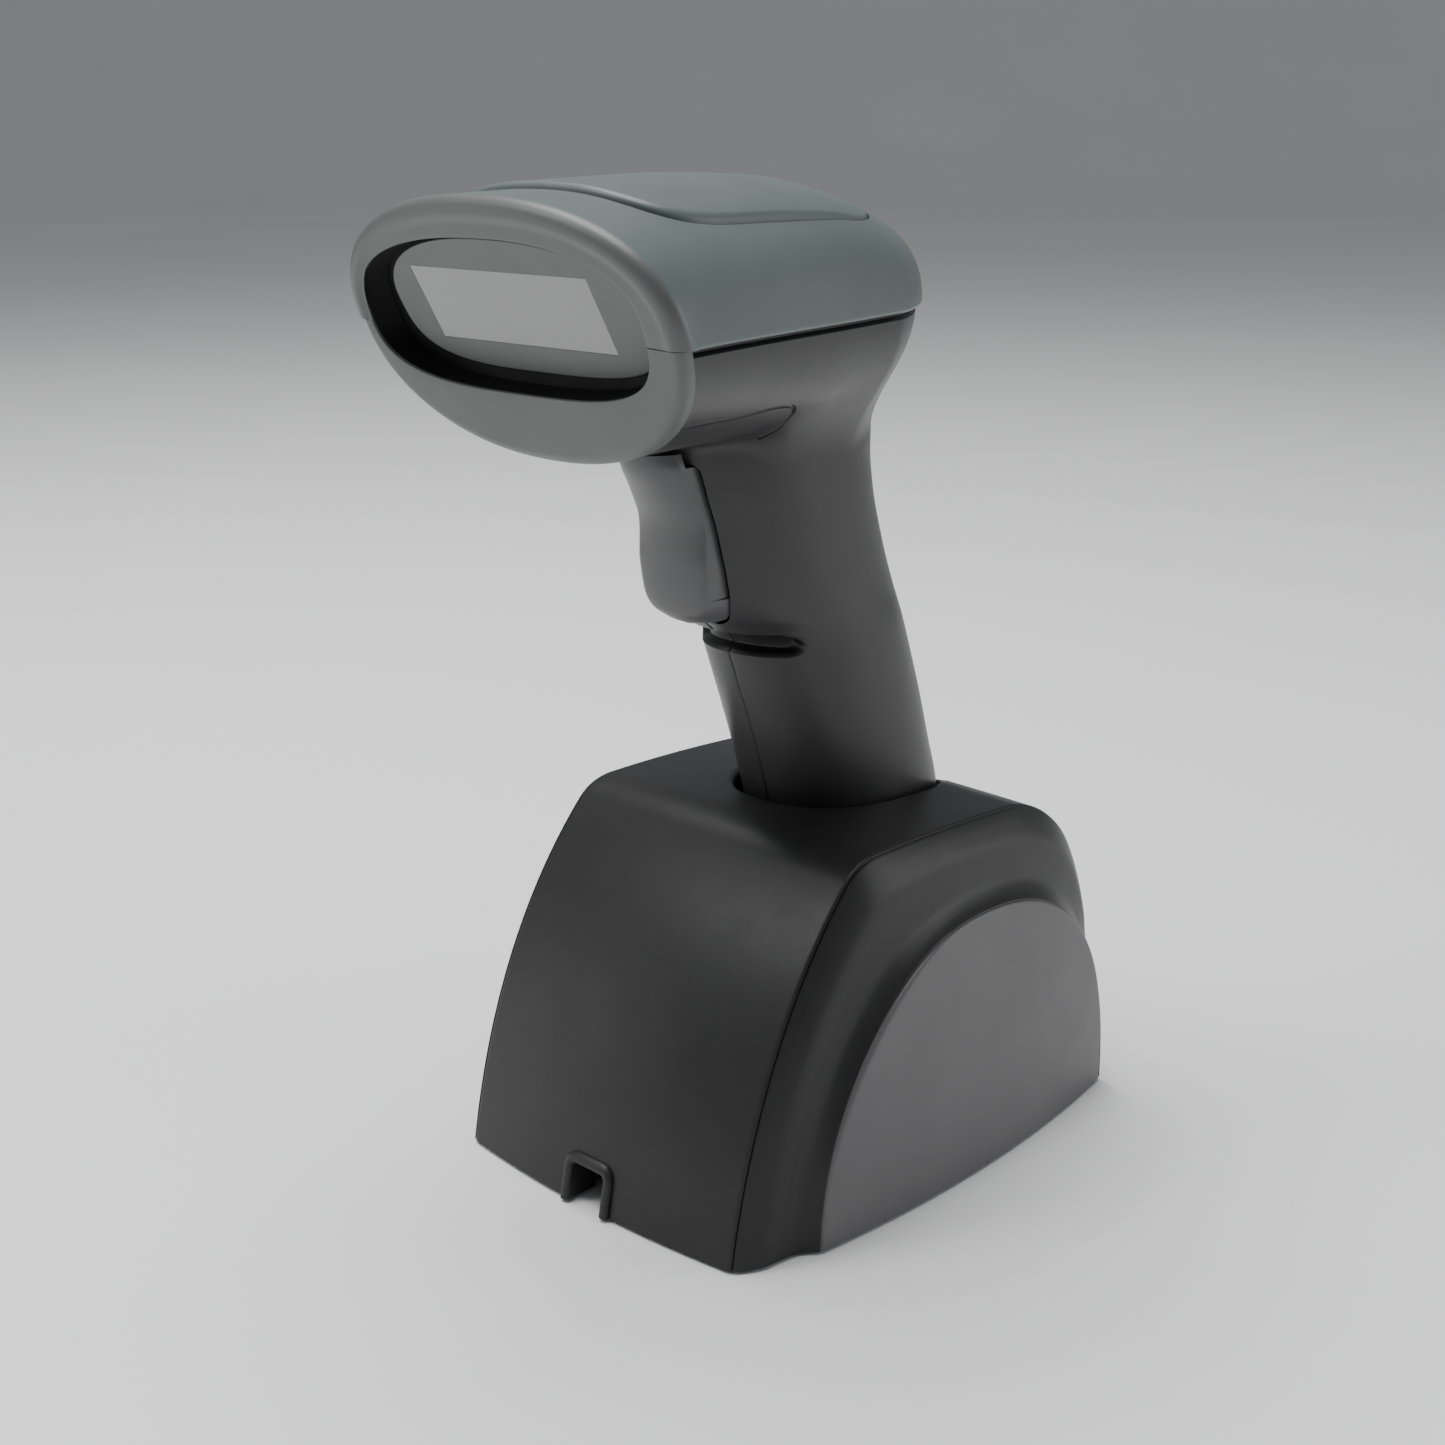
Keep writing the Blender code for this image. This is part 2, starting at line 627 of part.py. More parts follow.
def handle_radius(angle, z):
    """Radius of the handle about its middle; the angle is counted from +X towards the rear."""
    half_y = (curve_through(HANDLE_REAR, z) - curve_through(HANDLE_FRONT, z)) / 2
    half_x = curve_through(HANDLE_HALF, z)
    c = abs(math.cos(angle))
    s = abs(math.sin(angle))
    n = HANDLE_ROUNDNESS
    return ((c / half_x) ** n + (s / half_y) ** n) ** (-1 / n)


def handle_ring(z, grow, count):
    middle = handle_middle(z)
    ring = []
    for i in range(count):
        angle = 2 * math.pi * i / count
        r = handle_radius(angle, z) + grow
        ring.append((r * math.cos(angle), middle + r * math.sin(angle), z))
    return ring


def seam_z(y):
    return SEAM_FRONT_Z + SEAM_SLOPE * (y - SEAM_FRONT_Y) + SEAM_TAIL_RISE * max(y - SEAM_TAIL_Y, 0.0) ** 2


def closing(y, inset, power):
    """1 along the head's front part, falling to 0 at its tail."""
    t = (y - HEAD_ROUND_FROM) / (HEAD_REAR - TAIL_SHARE * inset - HEAD_ROUND_FROM)
    if t <= 0:
        return 1.0
    return max(0.0, 1 - min(t, 1.0) ** power) ** (1 / power)


def head_half_width(y, inset=0.0):
    return (curve_through(HEAD_HALF, y) - inset) * closing(y, inset, WIDTH_CLOSING)


def head_up(y, inset=0.0):
    return max(curve_through(CROWN, y) - seam_z(y) - inset, 0.0)


def head_down(y):
    return HEAD_DOWN * closing(y, LOWER_INSET, DEPTH_CLOSING)


def lower_half_width(y, z):
    """Half width of the lower head at a height, or -1 below it."""
    below = max(seam_z(y) - z, 0.0)
    depth = head_down(y)
    if below >= depth:
        return -1.0
    side = head_half_width(y, LOWER_INSET)
    return side * (1 - (below / depth) ** LOWER_ROUNDNESS) ** (1 / LOWER_ROUNDNESS)


def fillet_drop(angle, distance):
    """How far the fillet hangs below the head at a distance out from the handle's side."""
    front = min(max((-math.sin(angle) - 0.5) / 0.4, 0.0), 1.0)
    radius = NECK_FILLET + (NECK_FILLET_FRONT - NECK_FILLET) * front
    rest = max(radius - distance, 0.0)
    return radius - math.sqrt(radius**2 - min(rest, radius) ** 2)


def body_radius(angle, z, middle):
    """Distance from the middle to the body's side: the handle, and the head above it with a fillet."""
    handle = handle_radius(angle, z)
    inner = handle
    outer = 95.0
    for _ in range(26):
        r = (inner + outer) / 2
        y = middle + r * math.sin(angle)
        height = z + fillet_drop(angle, r - handle)
        if -26.0 < y < HEAD_REAR and abs(r * math.cos(angle)) <= lower_half_width(y, height):
            inner = r
        else:
            outer = r
    return inner


def body_grid():
    """Points of the body's outer skin, one row per level; the last level is the seam."""
    rows = []
    for level in BODY_LEVELS:
        row = []
        for degrees in BODY_ANGLES:
            angle = math.radians(degrees)
            z = SEAM_FRONT_Z if level is None else level
            middle = handle_middle(z)
            r = body_radius(angle, z, middle)
            if level is None:
                z = seam_z(middle + r * math.sin(angle)) - GAP
            row.append((r * math.cos(angle), middle + r * math.sin(angle), z))
        rows.append(row)
    return np.array(rows)


def inner_grid(outer):
    """The outer skin moved in along its normals by the wall thickness."""
    across = np.roll(outer, -1, axis=1) - np.roll(outer, 1, axis=1)
    along = np.gradient(outer, axis=0)
    normal = np.cross(across, along)
    normal /= np.linalg.norm(normal, axis=2)[:, :, None]
    inner = outer - normal * WALL
    inner[0, :, 2] = outer[0, :, 2]
    inner[-1, :, 2] = outer[-1, :, 2]
    return inner


def face_cutter():
    """Everything in front of the bezel's back."""
    depth = BEZEL_DEPTH + GAP
    tilt = Matrix.Rotation(FACE_TILT, 4, "X")
    centre = Vector((0.0, FACE_Y, FACE_Z)) + tilt @ Vector((0.0, depth - 30.0, 0.0))
    return box("face_cutter", centre, (120.0, 60.0, 120.0), SHELL_DARK, CUTTERS, tilt=tilt)


def trigger_slot_cutter():
    """The slot that the trigger swings in: its outline follows the trigger's."""
    side = [(half + SLOT_GAP, z - SLOT_GAP * (1 if i == 0 else 0.3))
            for i, (z, _, _, half) in enumerate(TRIGGER_SHAPE)]
    side.append((TRIGGER_SHAPE[-1][3] + SLOT_GAP, SLOT_HIGH_Z))
    outline = side + [(-x, z) for x, z in reversed(side)]
    return flat_piece("trigger_slot_cutter", outline, -6.0, 34.0, SHELL_DARK, CUTTERS, upright=True)


def body_half(name, cutters):
    outer = body_grid()
    rings = [list(map(tuple, row)) for row in outer]
    rings += [list(map(tuple, row)) for row in inner_grid(outer)[::-1]]
    half = loft(name, rings, SHELL_DARK, close=True)
    for cutter in cutters:
        boolean(half, cutter)
    return half


def half_space(name, side):
    """Cuts away the other half, and half the parting gap."""
    return box(name, (-side * (60.0 - GAP / 2), 20.0, 80.0), (120.0, 200.0, 200.0), SHELL_DARK, CUTTERS)


def screw_boss(half, side, y, z, reach, index):
    """A tube from the shell's wall to the parting plane, drilled for its screw."""
    boss = rod(f"boss_{index}_{side}", (side * 0.5, y, z), (side * reach, y, z), 2.8, SHELL_DARK, CUTTERS, 16)
    boolean(half, boss, "UNION")
    drill_end = 8.0 if side > 0 else 30.0
    drill = rod(f"boss_drill_{index}_{side}", (-side, y, z), (side * drill_end, y, z), SCREW_CLEARANCE,
                SHELL_DARK, CUTTERS, 16)
    boolean(half, drill)
    if side < 0:
        head = rod(f"boss_sink_{index}", (side * (reach - 3.6), y, z), (side * 40.0, y, z), 2.3, SHELL_DARK,
                   CUTTERS, 16)
        boolean(half, head)


def shell_screw(name, y, z, reach):
    """Pan head screw that draws the two shell halves together; its head is on the left side."""
    head = reach - 3.6 + GAP
    profile = ((1.8, -head - 1.6), (2.0, -head - 1.2), (2.0, -head), (1.1, -head), (1.1, 7.0))
    return turned(name, profile, (0.0, y, z), STEEL, 14, turn=(0.0, math.pi / 2, 0.0))


def end_cap():
    ring = [handle_ring(z, -WALL - GAP - 0.2, 28) for z in (HANDLE_BOTTOM + 0.2, HANDLE_BOTTOM + 3.0)]
    return loft("handle_end_cap", ring, SHELL_DARK)


# ---------------------------------------------------------------- cover, bezel and window

def face_y(z, depth=0.0):
    """Depth of the face plane at a height, or of a plane that lies `depth` behind it."""
    return FACE_Y - math.tan(FACE_TILT) * (z - FACE_Z) + depth / math.cos(FACE_TILT)


def cover_point(angle, y, inset):
    x, z = squircle(angle, head_half_width(y, inset), head_up(y, inset), UPPER_ROUNDNESS)
    return (x, y, seam_z(y) + z)


def on_face(x, z, depth):
    """The point at (x, z) on the face plane, moved back by depth along the plane's normal."""
    return (x, face_y(z) + depth * math.cos(FACE_TILT), z + depth * math.sin(FACE_TILT))


def rim_point(angle, inset, depth, lower):
    """A point of the face's rim, inset from the head's outline and set back from the face."""
    y = FACE_Y
    for _ in range(12):
        if lower:
            half_x = head_half_width(y) - LOWER_INSET - inset
            x, z = squircle(angle, half_x, HEAD_DOWN - inset, LOWER_ROUNDNESS)
        else:
            x, z = squircle(angle, head_half_width(y, inset), head_up(y, inset), UPPER_ROUNDNESS)
        height = seam_z(y) + z
        y = face_y(height, depth)
    return (x, y, height)


def opening_outline(angle, inset, left, low):
    """A point (x, z) of the face's opening; the insets are those of its top and right, left and low side."""
    across, up = squircle(angle, OPENING_RIGHT, OPENING_UP, 2.3)
    near = 0.0
    far = 2.0
    for _ in range(30):
        reach = (near + far) / 2
        x = across * reach
        z = SEAM_FRONT_Z + up * reach - OPENING_Z
        half_x = OPENING_RIGHT - inset if x > 0 else OPENING_LEFT - left
        half_z = OPENING_UP - inset if z > 0 else OPENING_DOWN - low
        roundness = 2.3 if z > 0 else 3.2
        if (abs(x) / half_x) ** roundness + (abs(z) / half_z) ** roundness < 1:
            near = reach
        else:
            far = reach
    return across * near, SEAM_FRONT_Z + up * near


def opening_point(angle, inset, depth):
    """A point of the face's opening, inset from its edge and set back from the face."""
    x, z = opening_outline(angle, inset, inset, inset)
    return on_face(x, z, depth)


def plate_depth(z):
    """How far the window plate's plane lies behind the face at a height of the face plane."""
    return PLATE_TOP_DEPTH + PLATE_LEAN * (PLATE_TOP_Z - z)


def plate_point(angle, inset, behind):
    """A point of the window plate's outline on the plate's plane, inset from it, and behind it."""
    x, z = opening_outline(angle, PLATE_INSET + inset, PLATE_INSET_LEFT + inset, PLATE_INSET_LOW + inset)
    return on_face(x, z, plate_depth(z) + behind)


def cover_ring(angle):
    """One cut through the cover: from its rear end along the outside, round the rim, and back inside."""
    path = [cover_point(angle, y, 0.0) for y in COVER_STATIONS]
    for turn in (0, 30, 60, 90):
        t = math.radians(turn)
        path.append(rim_point(angle, FACE_EDGE * (1 - math.cos(t)), FACE_EDGE * (1 - math.sin(t)), False))
    path.append(opening_point(angle, 0.0, 0.0))
    path.append(opening_point(angle, 0.0, BEZEL_DEPTH))
    path.append(rim_point(angle, WALL, BEZEL_DEPTH, False))
    inner_end = HEAD_REAR - TAIL_SHARE * WALL
    for y in reversed(COVER_STATIONS):
        path.append(cover_point(angle, min(y, inner_end), WALL))
    return path


def top_cover():
    steps = 22
    rings = []
    for i in range(steps + 1):
        rings.append(cover_ring(math.pi * i / steps))
    cover = loft("top_cover", rings, COVER_GREEN, wrap=False)
    boolean(cover, panel_slab("panel_pocket", PANEL_GROW, 6.0, -1.2, CUTTERS))
    return cover


def panel_slab(name, grow, top, bottom, group=PARTS):
    """A slab that follows the cover's crown between two offsets from its surface."""
    rings = []
    columns = 10
    rows = 6
    for i in range(rows + 1):
        share = -1 + 2 * i / rows
        ring = []
        for height in (top, bottom):
            order = range(columns + 1) if height == top else range(columns, -1, -1)
            for j in order:
                across = -1 + 2 * j / columns
                half = (PANEL_REAR - PANEL_FRONT) / 2 + grow
                y = (PANEL_REAR + PANEL_FRONT) / 2 + share * half
                x = across * (PANEL_HALF_X - PANEL_TAPER * (y - PANEL_FRONT) + grow)
                y -= 1.5 * (1 - across**2) * max(-share, 0.0)
                ring.append((x, y, crown_z(x, y) + height))
        rings.append(ring)
    return loft(name, rings, COVER_GREEN, strip=True, group=group)


def crown_z(x, y):
    """Height of the cover's outside above a point in plan."""
    across = min(abs(x) / head_half_width(y), 1.0)
    return seam_z(y) + head_up(y) * (1 - across**UPPER_ROUNDNESS) ** (1 / UPPER_ROUNDNESS)


def front_bezel():
    steps = 22
    rings = []
    for i in range(steps + 1):
        angle = -math.pi * i / steps
        ring = [rim_point(angle, 0.0, BEZEL_DEPTH, True)]
        for turn in (0, 30, 60, 90):
            t = math.radians(turn)
            ring.append(rim_point(angle, FACE_EDGE * (1 - math.cos(t)), FACE_EDGE * (1 - math.sin(t)), True))
        ring.append(opening_point(angle, 0.0, 0.0))
        ring.append(opening_point(angle, 0.0, BEZEL_DEPTH))
        rings.append([(x, y, z - GAP - 0.3) for x, y, z in ring])
    return loft("front_bezel", rings, FACE_GREY)


def window_frame():
    """Black flared liner of the opening: its front follows the opening, its back holds the plate."""
    steps = 36
    front = GAP + 0.1
    seat = PLATE_THICK + 0.6
    rings = []
    for i in range(steps):
        angle = 2 * math.pi * i / steps
        x, z = opening_outline(angle, front, front, front)
        back = max(BEZEL_DEPTH, plate_depth(z) + seat)
        rings.append([opening_point(angle, front, 0.3), plate_point(angle, -0.1, 0.2),
                      plate_point(angle, -0.1, seat), plate_point(angle, 1.5, seat),
                      plate_point(angle, 1.5, seat + 1.3), on_face(x, z, back)])
    return loft("window_frame", rings, RECESS_BLACK, close=True)


def window_block(name, grow, front, back, mat, group=PARTS):
    """A block with the scan window's outline, between two planes parallel to the window plate."""
    corners = ((-1, WINDOW_LOW_Z - grow), (1, WINDOW_LOW_Z - grow), (1, WINDOW_HIGH_Z + grow),
               (-1, WINDOW_HIGH_Z + grow))
    rings = []
    for behind in (front, back):
        rings.append([on_face(side * (WINDOW_HALF_X + grow), z, plate_depth(z) + behind)
                      for side, z in corners])
    return loft(name, rings, mat, group=group)


def window_plate():
    rings = []
    steps = 36
    for behind in (0.2, 0.2 + PLATE_THICK):
        rings.append([plate_point(2 * math.pi * i / steps, GAP, behind) for i in range(steps)])
    plate = loft("window_plate", rings, FACE_GREY)
    boolean(plate, window_block("window_hole", GAP, -3.0, 6.0, FACE_GREY, CUTTERS))
    return plate


def scan_window():
    return window_block("scan_window", 0.0, 0.4, PLATE_THICK, WINDOW)


# ---------------------------------------------------------------- trigger

def trigger():
    """The finger tongue; its sides run back into the handle, and its pin passes through behind."""
    rings = []
    steps = 10
    for z, middle, edge, half in TRIGGER_SHAPE + TRIGGER_CAP:
        ring = []
        for i in range(steps + 1):
            angle = math.pi * i / steps
            ring.append((half * math.cos(angle), edge - (edge - middle) * math.sin(angle), z))
        back = TRIGGER_BACK_Y if z > 95 else 25.6
        if z > TRIGGER_SHAPE[-1][0]:
            back = TRIGGER_CAP_BACK_Y
        ring.append((-half * 0.96, back, z))
        ring.append((half * 0.96, back, z))
        rings.append(ring)
    body = loft("trigger", rings, PANEL_GREY)
    boolean(body, rod("trigger_pin_hole", (-12.0, TRIGGER_PIVOT_Y, TRIGGER_PIVOT_Z),
                      (12.0, TRIGGER_PIVOT_Y, TRIGGER_PIVOT_Z), 1.25, PANEL_GREY, CUTTERS, 16))
    return body


def trigger_pin():
    return rod("trigger_pin", (-PIN_REACH, TRIGGER_PIVOT_Y, TRIGGER_PIVOT_Z),
               (PIN_REACH, TRIGGER_PIVOT_Y, TRIGGER_PIVOT_Z), 0.95, STEEL, sides=14)


def pin_seat(half, side):
    """Blind hole for the pin's end and a wider pocket for the spring."""
    inner = (side * 6.0, TRIGGER_PIVOT_Y, TRIGGER_PIVOT_Z)
    end = (side * (PIN_REACH + GAP), TRIGGER_PIVOT_Y, TRIGGER_PIVOT_Z)
    pocket = (side * 8.9, TRIGGER_PIVOT_Y, TRIGGER_PIVOT_Z)
    boolean(half, rod(f"pin_hole_{side}", inner, end, 1.3, SHELL_DARK, CUTTERS, 16))
    boolean(half, rod(f"spring_pocket_{side}", inner, pocket, 2.5, SHELL_DARK, CUTTERS, 20))


def trigger_spring():
    """Torsion spring round the pin, beside the trigger."""
    turns = 3
    steps = 12
    points = []
    for i in range(turns * steps + 1):
        a = 2 * math.pi * i / steps
        points.append((7.3 + 1.1 * i / (turns * steps), TRIGGER_PIVOT_Y + 1.6 * math.cos(a),
                       TRIGGER_PIVOT_Z + 1.6 * math.sin(a)))
    curve = bpy.data.curves.new("trigger_spring", "CURVE")
    curve.dimensions = "3D"
    curve.bevel_depth = 0.15 * MM
    curve.bevel_resolution = 2
    curve.use_fill_caps = True
    spline = curve.splines.new("POLY")
    spline.points.add(len(points) - 1)
    for point, place_at in zip(spline.points, points):
        point.co = (*place(*place_at), 1.0)
    obj = bpy.data.objects.new("trigger_spring", curve)
    PARTS.objects.link(obj)
    curve.materials.append(STEEL)
    return obj


def trigger_switch():
    body = box("trigger_switch", (0.0, 34.0, SWITCH_Z), (11.0, 6.0, 7.0), COMPONENT, bevel=0.5)
    bore = rod("plunger_bore", (0.0, 28.0, SWITCH_Z), (0.0, 35.5, SWITCH_Z), PLUNGER_RADIUS + 0.4, COMPONENT,
               CUTTERS, 16)
    boolean(body, bore)
    return body


def switch_plunger():
    return rod("switch_plunger", (0.0, TRIGGER_BACK_Y + GAP, SWITCH_Z), (0.0, 33.0, SWITCH_Z), PLUNGER_RADIUS,
               RECESS_BLACK, sides=16)


# ---------------------------------------------------------------- electronics

def along_handle(distance):
    """A point on the battery's axis, at a distance from the battery's lower end."""
    lean = math.radians(LIFT_LEAN)
    return (0.0, BATTERY_LOW[0] - distance * math.sin(lean), BATTERY_LOW[1] + distance * math.cos(lean))


def battery():
    return rod("battery_cell", along_handle(0.0), along_handle(BATTERY_LENGTH), 9.1, CELL, sides=28)


def battery_contacts():
    rod("battery_contact_lower", along_handle(-2.2), along_handle(-0.4), 5.0, BRASS, sides=20)
    rod("battery_contact_upper", along_handle(BATTERY_LENGTH + 0.4), along_handle(BATTERY_LENGTH + 2.2), 3.0,
        BRASS, sides=20)


def head_electronics():
    box("scan_engine", (0.0, ENGINE_FRONT + 6.0, ENGINE_Z), (26.0, 12.0, 13.0), COMPONENT, bevel=0.6)
    back = ENGINE_FRONT - GAP
    for name, x, reach, radius in ENGINE_OPTICS:
        rod(name, (x, ENGINE_FRONT - reach, ENGINE_Z), (x, back, ENGINE_Z), radius, LENS_GLASS)
    box("main_board", (0.0, 34.0, 137.0), (32.0, 34.0, 1.2), BOARD)
    box("radio_module", (-7.0, 40.0, 138.9), (12.0, 14.0, 2.0), STEEL)
    turned("buzzer", ((6.0, 0.0), (6.0, 4.4), (1.5, 4.4), (1.5, 3.4)), (8.0, 28.0, 137.9), COMPONENT, 20)


# ---------------------------------------------------------------- assembly

def build_cradle():
    shell = centre_shell()
    boolean(shell, well_cutter())
    notch = box("notch_cutter", (0.0, 0.0, FOOT_LIFT + NOTCH_HEIGHT / 2 - 1.0),
                (NOTCH_WIDTH, 9.0, NOTCH_HEIGHT + 2.0), SHELL_DARK, CUTTERS)
    boolean(shell, notch)
    for name, side in (("left", -1), ("right", 1)):
        flank(f"cradle_flank_{name}", side)
        side_panel(f"cradle_side_panel_{name}", side)
        charge_pin(f"charge_pin_{name}", side * PAD_X)
    base_plate()
    ballast()
    notch_frame()
    cable_socket()
    cradle_board()
    handle_cup()
    pin_block()
    for i, (x, y) in enumerate(FOOT_PLACES):
        rubber_foot(f"rubber_foot_{i + 1}", x, y)
    for i, (x, y) in enumerate(SCREW_PLACES):
        base_screw(f"base_screw_{i + 1}", x, y)


def build_scanner():
    cut_face = face_cutter()
    cut_slot = trigger_slot_cutter()
    for name, side in (("left", -1), ("right", 1)):
        cut_half = half_space(f"parting_{name}", side)
        half = body_half(f"body_shell_{name}", (cut_face, cut_slot, cut_half))
        for index, (y, z, reach) in enumerate(SHELL_SCREWS):
            screw_boss(half, side, y, z, reach, index)
        pin_seat(half, side)
        pad = ((2.4, HANDLE_BOTTOM - 1.4), (2.6, HANDLE_BOTTOM - 1.2), (2.6, HANDLE_BOTTOM - 0.1))
        turned(f"charge_pad_{name}", pad, (side * PAD_X, PAD_Y, 0.0), BRASS, 18)
    for index, (y, z, reach) in enumerate(SHELL_SCREWS):
        shell_screw(f"shell_screw_{index + 1}", y, z, reach)
    end_cap()
    top_cover()
    panel_slab("top_panel", 0.0, PANEL_RISE, -PANEL_DEPTH)
    front_bezel()
    window_frame()
    window_plate()
    scan_window()
    trigger()
    trigger_pin()
    trigger_spring()
    trigger_switch()
    switch_plunger()
    battery()
    battery_contacts()
    head_electronics()


def joint_axis(name, at, children, parent=None):
    """An empty on a joint's axis; the pieces that move about it, or along it, are its children."""
    empty = bpy.data.objects.new(name, None)
    PARTS.objects.link(empty)
    empty.empty_display_size = 10 * MM
    empty.location = place(*at)
    if parent:
        empty.parent = parent
        empty.location -= parent.location
    for child in children:
        child.parent = empty
        child.matrix_parent_inverse = Matrix.Translation(place(*at)).inverted()
    return empty


def join_moving_pieces(scanner_pieces):
    lift = joint_axis("scanner_lift_axis", (0.0, PAD_Y, HANDLE_BOTTOM), scanner_pieces)
    joint_axis("trigger_pull_axis", (0.0, TRIGGER_PIVOT_Y, TRIGGER_PIVOT_Z), [PARTS.objects["trigger"]], lift)
    joint_axis("switch_press_axis", (0.0, TRIGGER_BACK_Y, SWITCH_Z), [PARTS.objects["switch_plunger"]], lift)
    for name, side in (("left", -1), ("right", 1)):
        pin = PARTS.objects[f"charge_pin_{name}"]
        joint_axis(f"charge_pin_{name}_press_axis", (side * PAD_X, PAD_Y, HANDLE_BOTTOM), [pin])


build_cradle()
CRADLE_PIECES = set(PARTS.objects)
build_scanner()
OWN_JOINT = {PARTS.objects["trigger"], PARTS.objects["switch_plunger"]}
join_moving_pieces([piece for piece in PARTS.objects if piece not in CRADLE_PIECES | OWN_JOINT])
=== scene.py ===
"""The looks of a cordless handheld barcode scanner in its charging cradle.

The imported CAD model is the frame. The moulded shells are remade here as fine meshes from the same
rules as the CAD, with rounded lips, parting lines, grooves and recesses, and every surface gets a
procedural material. Sizes are in millimetres until `place` turns them into row-frame metres.
"""
import json
import math

import bmesh
import bpy
import numpy as np
from mathutils import Matrix, Vector


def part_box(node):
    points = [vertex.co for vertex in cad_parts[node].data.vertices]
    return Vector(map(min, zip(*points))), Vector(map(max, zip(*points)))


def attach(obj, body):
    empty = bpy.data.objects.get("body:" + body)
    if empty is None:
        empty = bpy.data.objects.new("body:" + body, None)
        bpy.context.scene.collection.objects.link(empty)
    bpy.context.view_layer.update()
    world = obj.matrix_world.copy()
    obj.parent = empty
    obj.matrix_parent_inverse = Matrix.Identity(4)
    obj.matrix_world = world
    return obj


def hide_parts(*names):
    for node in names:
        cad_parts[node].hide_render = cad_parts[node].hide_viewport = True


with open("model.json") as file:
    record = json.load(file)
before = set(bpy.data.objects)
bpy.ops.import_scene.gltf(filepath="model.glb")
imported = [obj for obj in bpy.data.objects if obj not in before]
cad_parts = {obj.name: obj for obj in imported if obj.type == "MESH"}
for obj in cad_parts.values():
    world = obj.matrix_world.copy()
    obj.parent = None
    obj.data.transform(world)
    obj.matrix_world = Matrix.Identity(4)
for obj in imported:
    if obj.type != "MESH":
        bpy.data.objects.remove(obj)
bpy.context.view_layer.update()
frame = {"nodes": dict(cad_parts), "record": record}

MM = 0.001
SHARP = math.radians(32.0)  # edges steeper than this stay crisp
PANEL_FRONT_DEPTH = 13.9  # the side panels start this far behind the cradle's front foot line
FOOT_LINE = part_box("cradle_side_panel_left")[0].y / MM - PANEL_FRONT_DEPTH
FOOT_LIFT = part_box("cradle_centre_shell")[0].z / MM

# Cradle
SEAM_X = 30.0
SEAM_GAP = 0.08  # half the joint line between the cradle's shells
DISC_X = 36.4
DISC_BULGE = 3.2
CRADLE_REAR = 93.4
CRADLE_TOP = 59.4
FRONT_BOW = 2.1  # how far the centre shell swells outward in its middle
REAR_BOW = 0.5
DISC_CENTRE = 53.2
DISC_HALF_FRONT = 39.6
DISC_HALF_REAR = 40.0
DISC_HEIGHT = 44.6
DISC_ROUNDNESS_FRONT = 2.0
DISC_ROUNDNESS_REAR = 2.35
DISC_EDGE = 0.7  # radius of the side panel's rolled rim
NOTCH_WIDTH = 9.0
NOTCH_HEIGHT = 7.4
MOUTH_HALF_X = 15.2
MOUTH_HALF_Y = 19.9
MOUTH_ROUNDNESS = 2.4
LIFT_LEAN = 15.0  # degrees that the way out of the well leans forward
FLANK_CURVE = (  # share of the way from the seam to the panel's rim, and how far out
    (0.0, 0.0), (0.15, 1.5), (0.35, 2.85), (0.6, 3.45), (0.8, 4.05), (0.93, 5.2), (1.0, 6.25),
)
RIM_GAP = 0.12  # between the side panel and the flank's rim
WALL = 2.2

# Scanner
HANDLE_ROUNDNESS = 2.3
SEAM_FRONT_Z = 140.8
SEAM_FRONT_Y = -13.0
SEAM_SLOPE = 0.008
SEAM_TAIL_Y = 62.0  # the seam turns up behind this depth
SEAM_TAIL_RISE = 0.01
HEAD_REAR = 75.0
HEAD_ROUND_FROM = 45.0
HEAD_DOWN = 18.4
UPPER_ROUNDNESS = 2.3
LOWER_ROUNDNESS = 2.2
LOWER_INSET = 1.0
WIDTH_CLOSING = 1.25  # the lower these powers, the more pointed the tail
DEPTH_CLOSING = 1.2
TAIL_SHARE = 1.5
NECK_FILLET = 7.0  # radius of the fillet between the handle and the head
NECK_FILLET_FRONT = 2.0  # the same above the trigger
FACE_TILT = math.radians(20.0)
FACE_Y = -14.0
FACE_Z = 143.0
FACE_EDGE = 2.6
BEZEL_DEPTH = 3.0
BEZEL_EDGE = 1.6
FACE_GREY = (1.4, 2.3)  # the cover is grey like the face up to here, and green from here
FACE_SINK = 0.45  # the face lies this far behind the crest of the cover's rim
OPENING_LEFT = 30.2  # the face opening reaches further to the left than to the right
OPENING_RIGHT = 27.0
OPENING_Z = 143.0
OPENING_UP = 10.5
OPENING_DOWN = 11.0
OPENING_ROUNDNESS = 2.3
OPENING_ROUNDNESS_LOW = 3.2
PLATE_TOP_Z = 153.5
PLATE_LEAN = 0.18  # how much deeper the window plate lies for each millimetre down
PLATE_INSET = 0.05  # distance of the plate's edge from the opening's, at the top and the right
PLATE_INSET_LEFT = 5.9
PLATE_INSET_LOW = 1.65
WINDOW_HALF_X = 18.0
WINDOW_LOW_Z = 137.8
WINDOW_HIGH_Z = 148.8
PANEL_MIDDLE = 21.2
PANEL_HALF_LENGTH = 27.2
PANEL_HALF_X = 23.0
PANEL_TAPER = 0.08
PANEL_ROUNDNESS = 5.0
PANEL_GAP = 0.42  # between the top panel and its pocket in the cover
PANEL_EDGE = 0.9  # radius of the top panel's edge
PANEL_PROUD = 1.05  # how far the panel stands out of the cover at its front
PANEL_FALL = 0.85  # how much less it stands out at its rear
GROOVE_Z = 89.0  # pill-shaped finger groove across the handle's front
GROOVE_HALF_X = 11.6
GROOVE_HALF_Z = 2.2
GROOVE_DEPTH = 1.8
GROOVE_BLEND = 0.9  # width of the groove's sloping side
PARTING_DEPTH = 0.18  # chamfer where the two body shells meet
PARTING_HALF = 0.5
UNDERCUT = 0.8  # how far the body steps in just under the cover
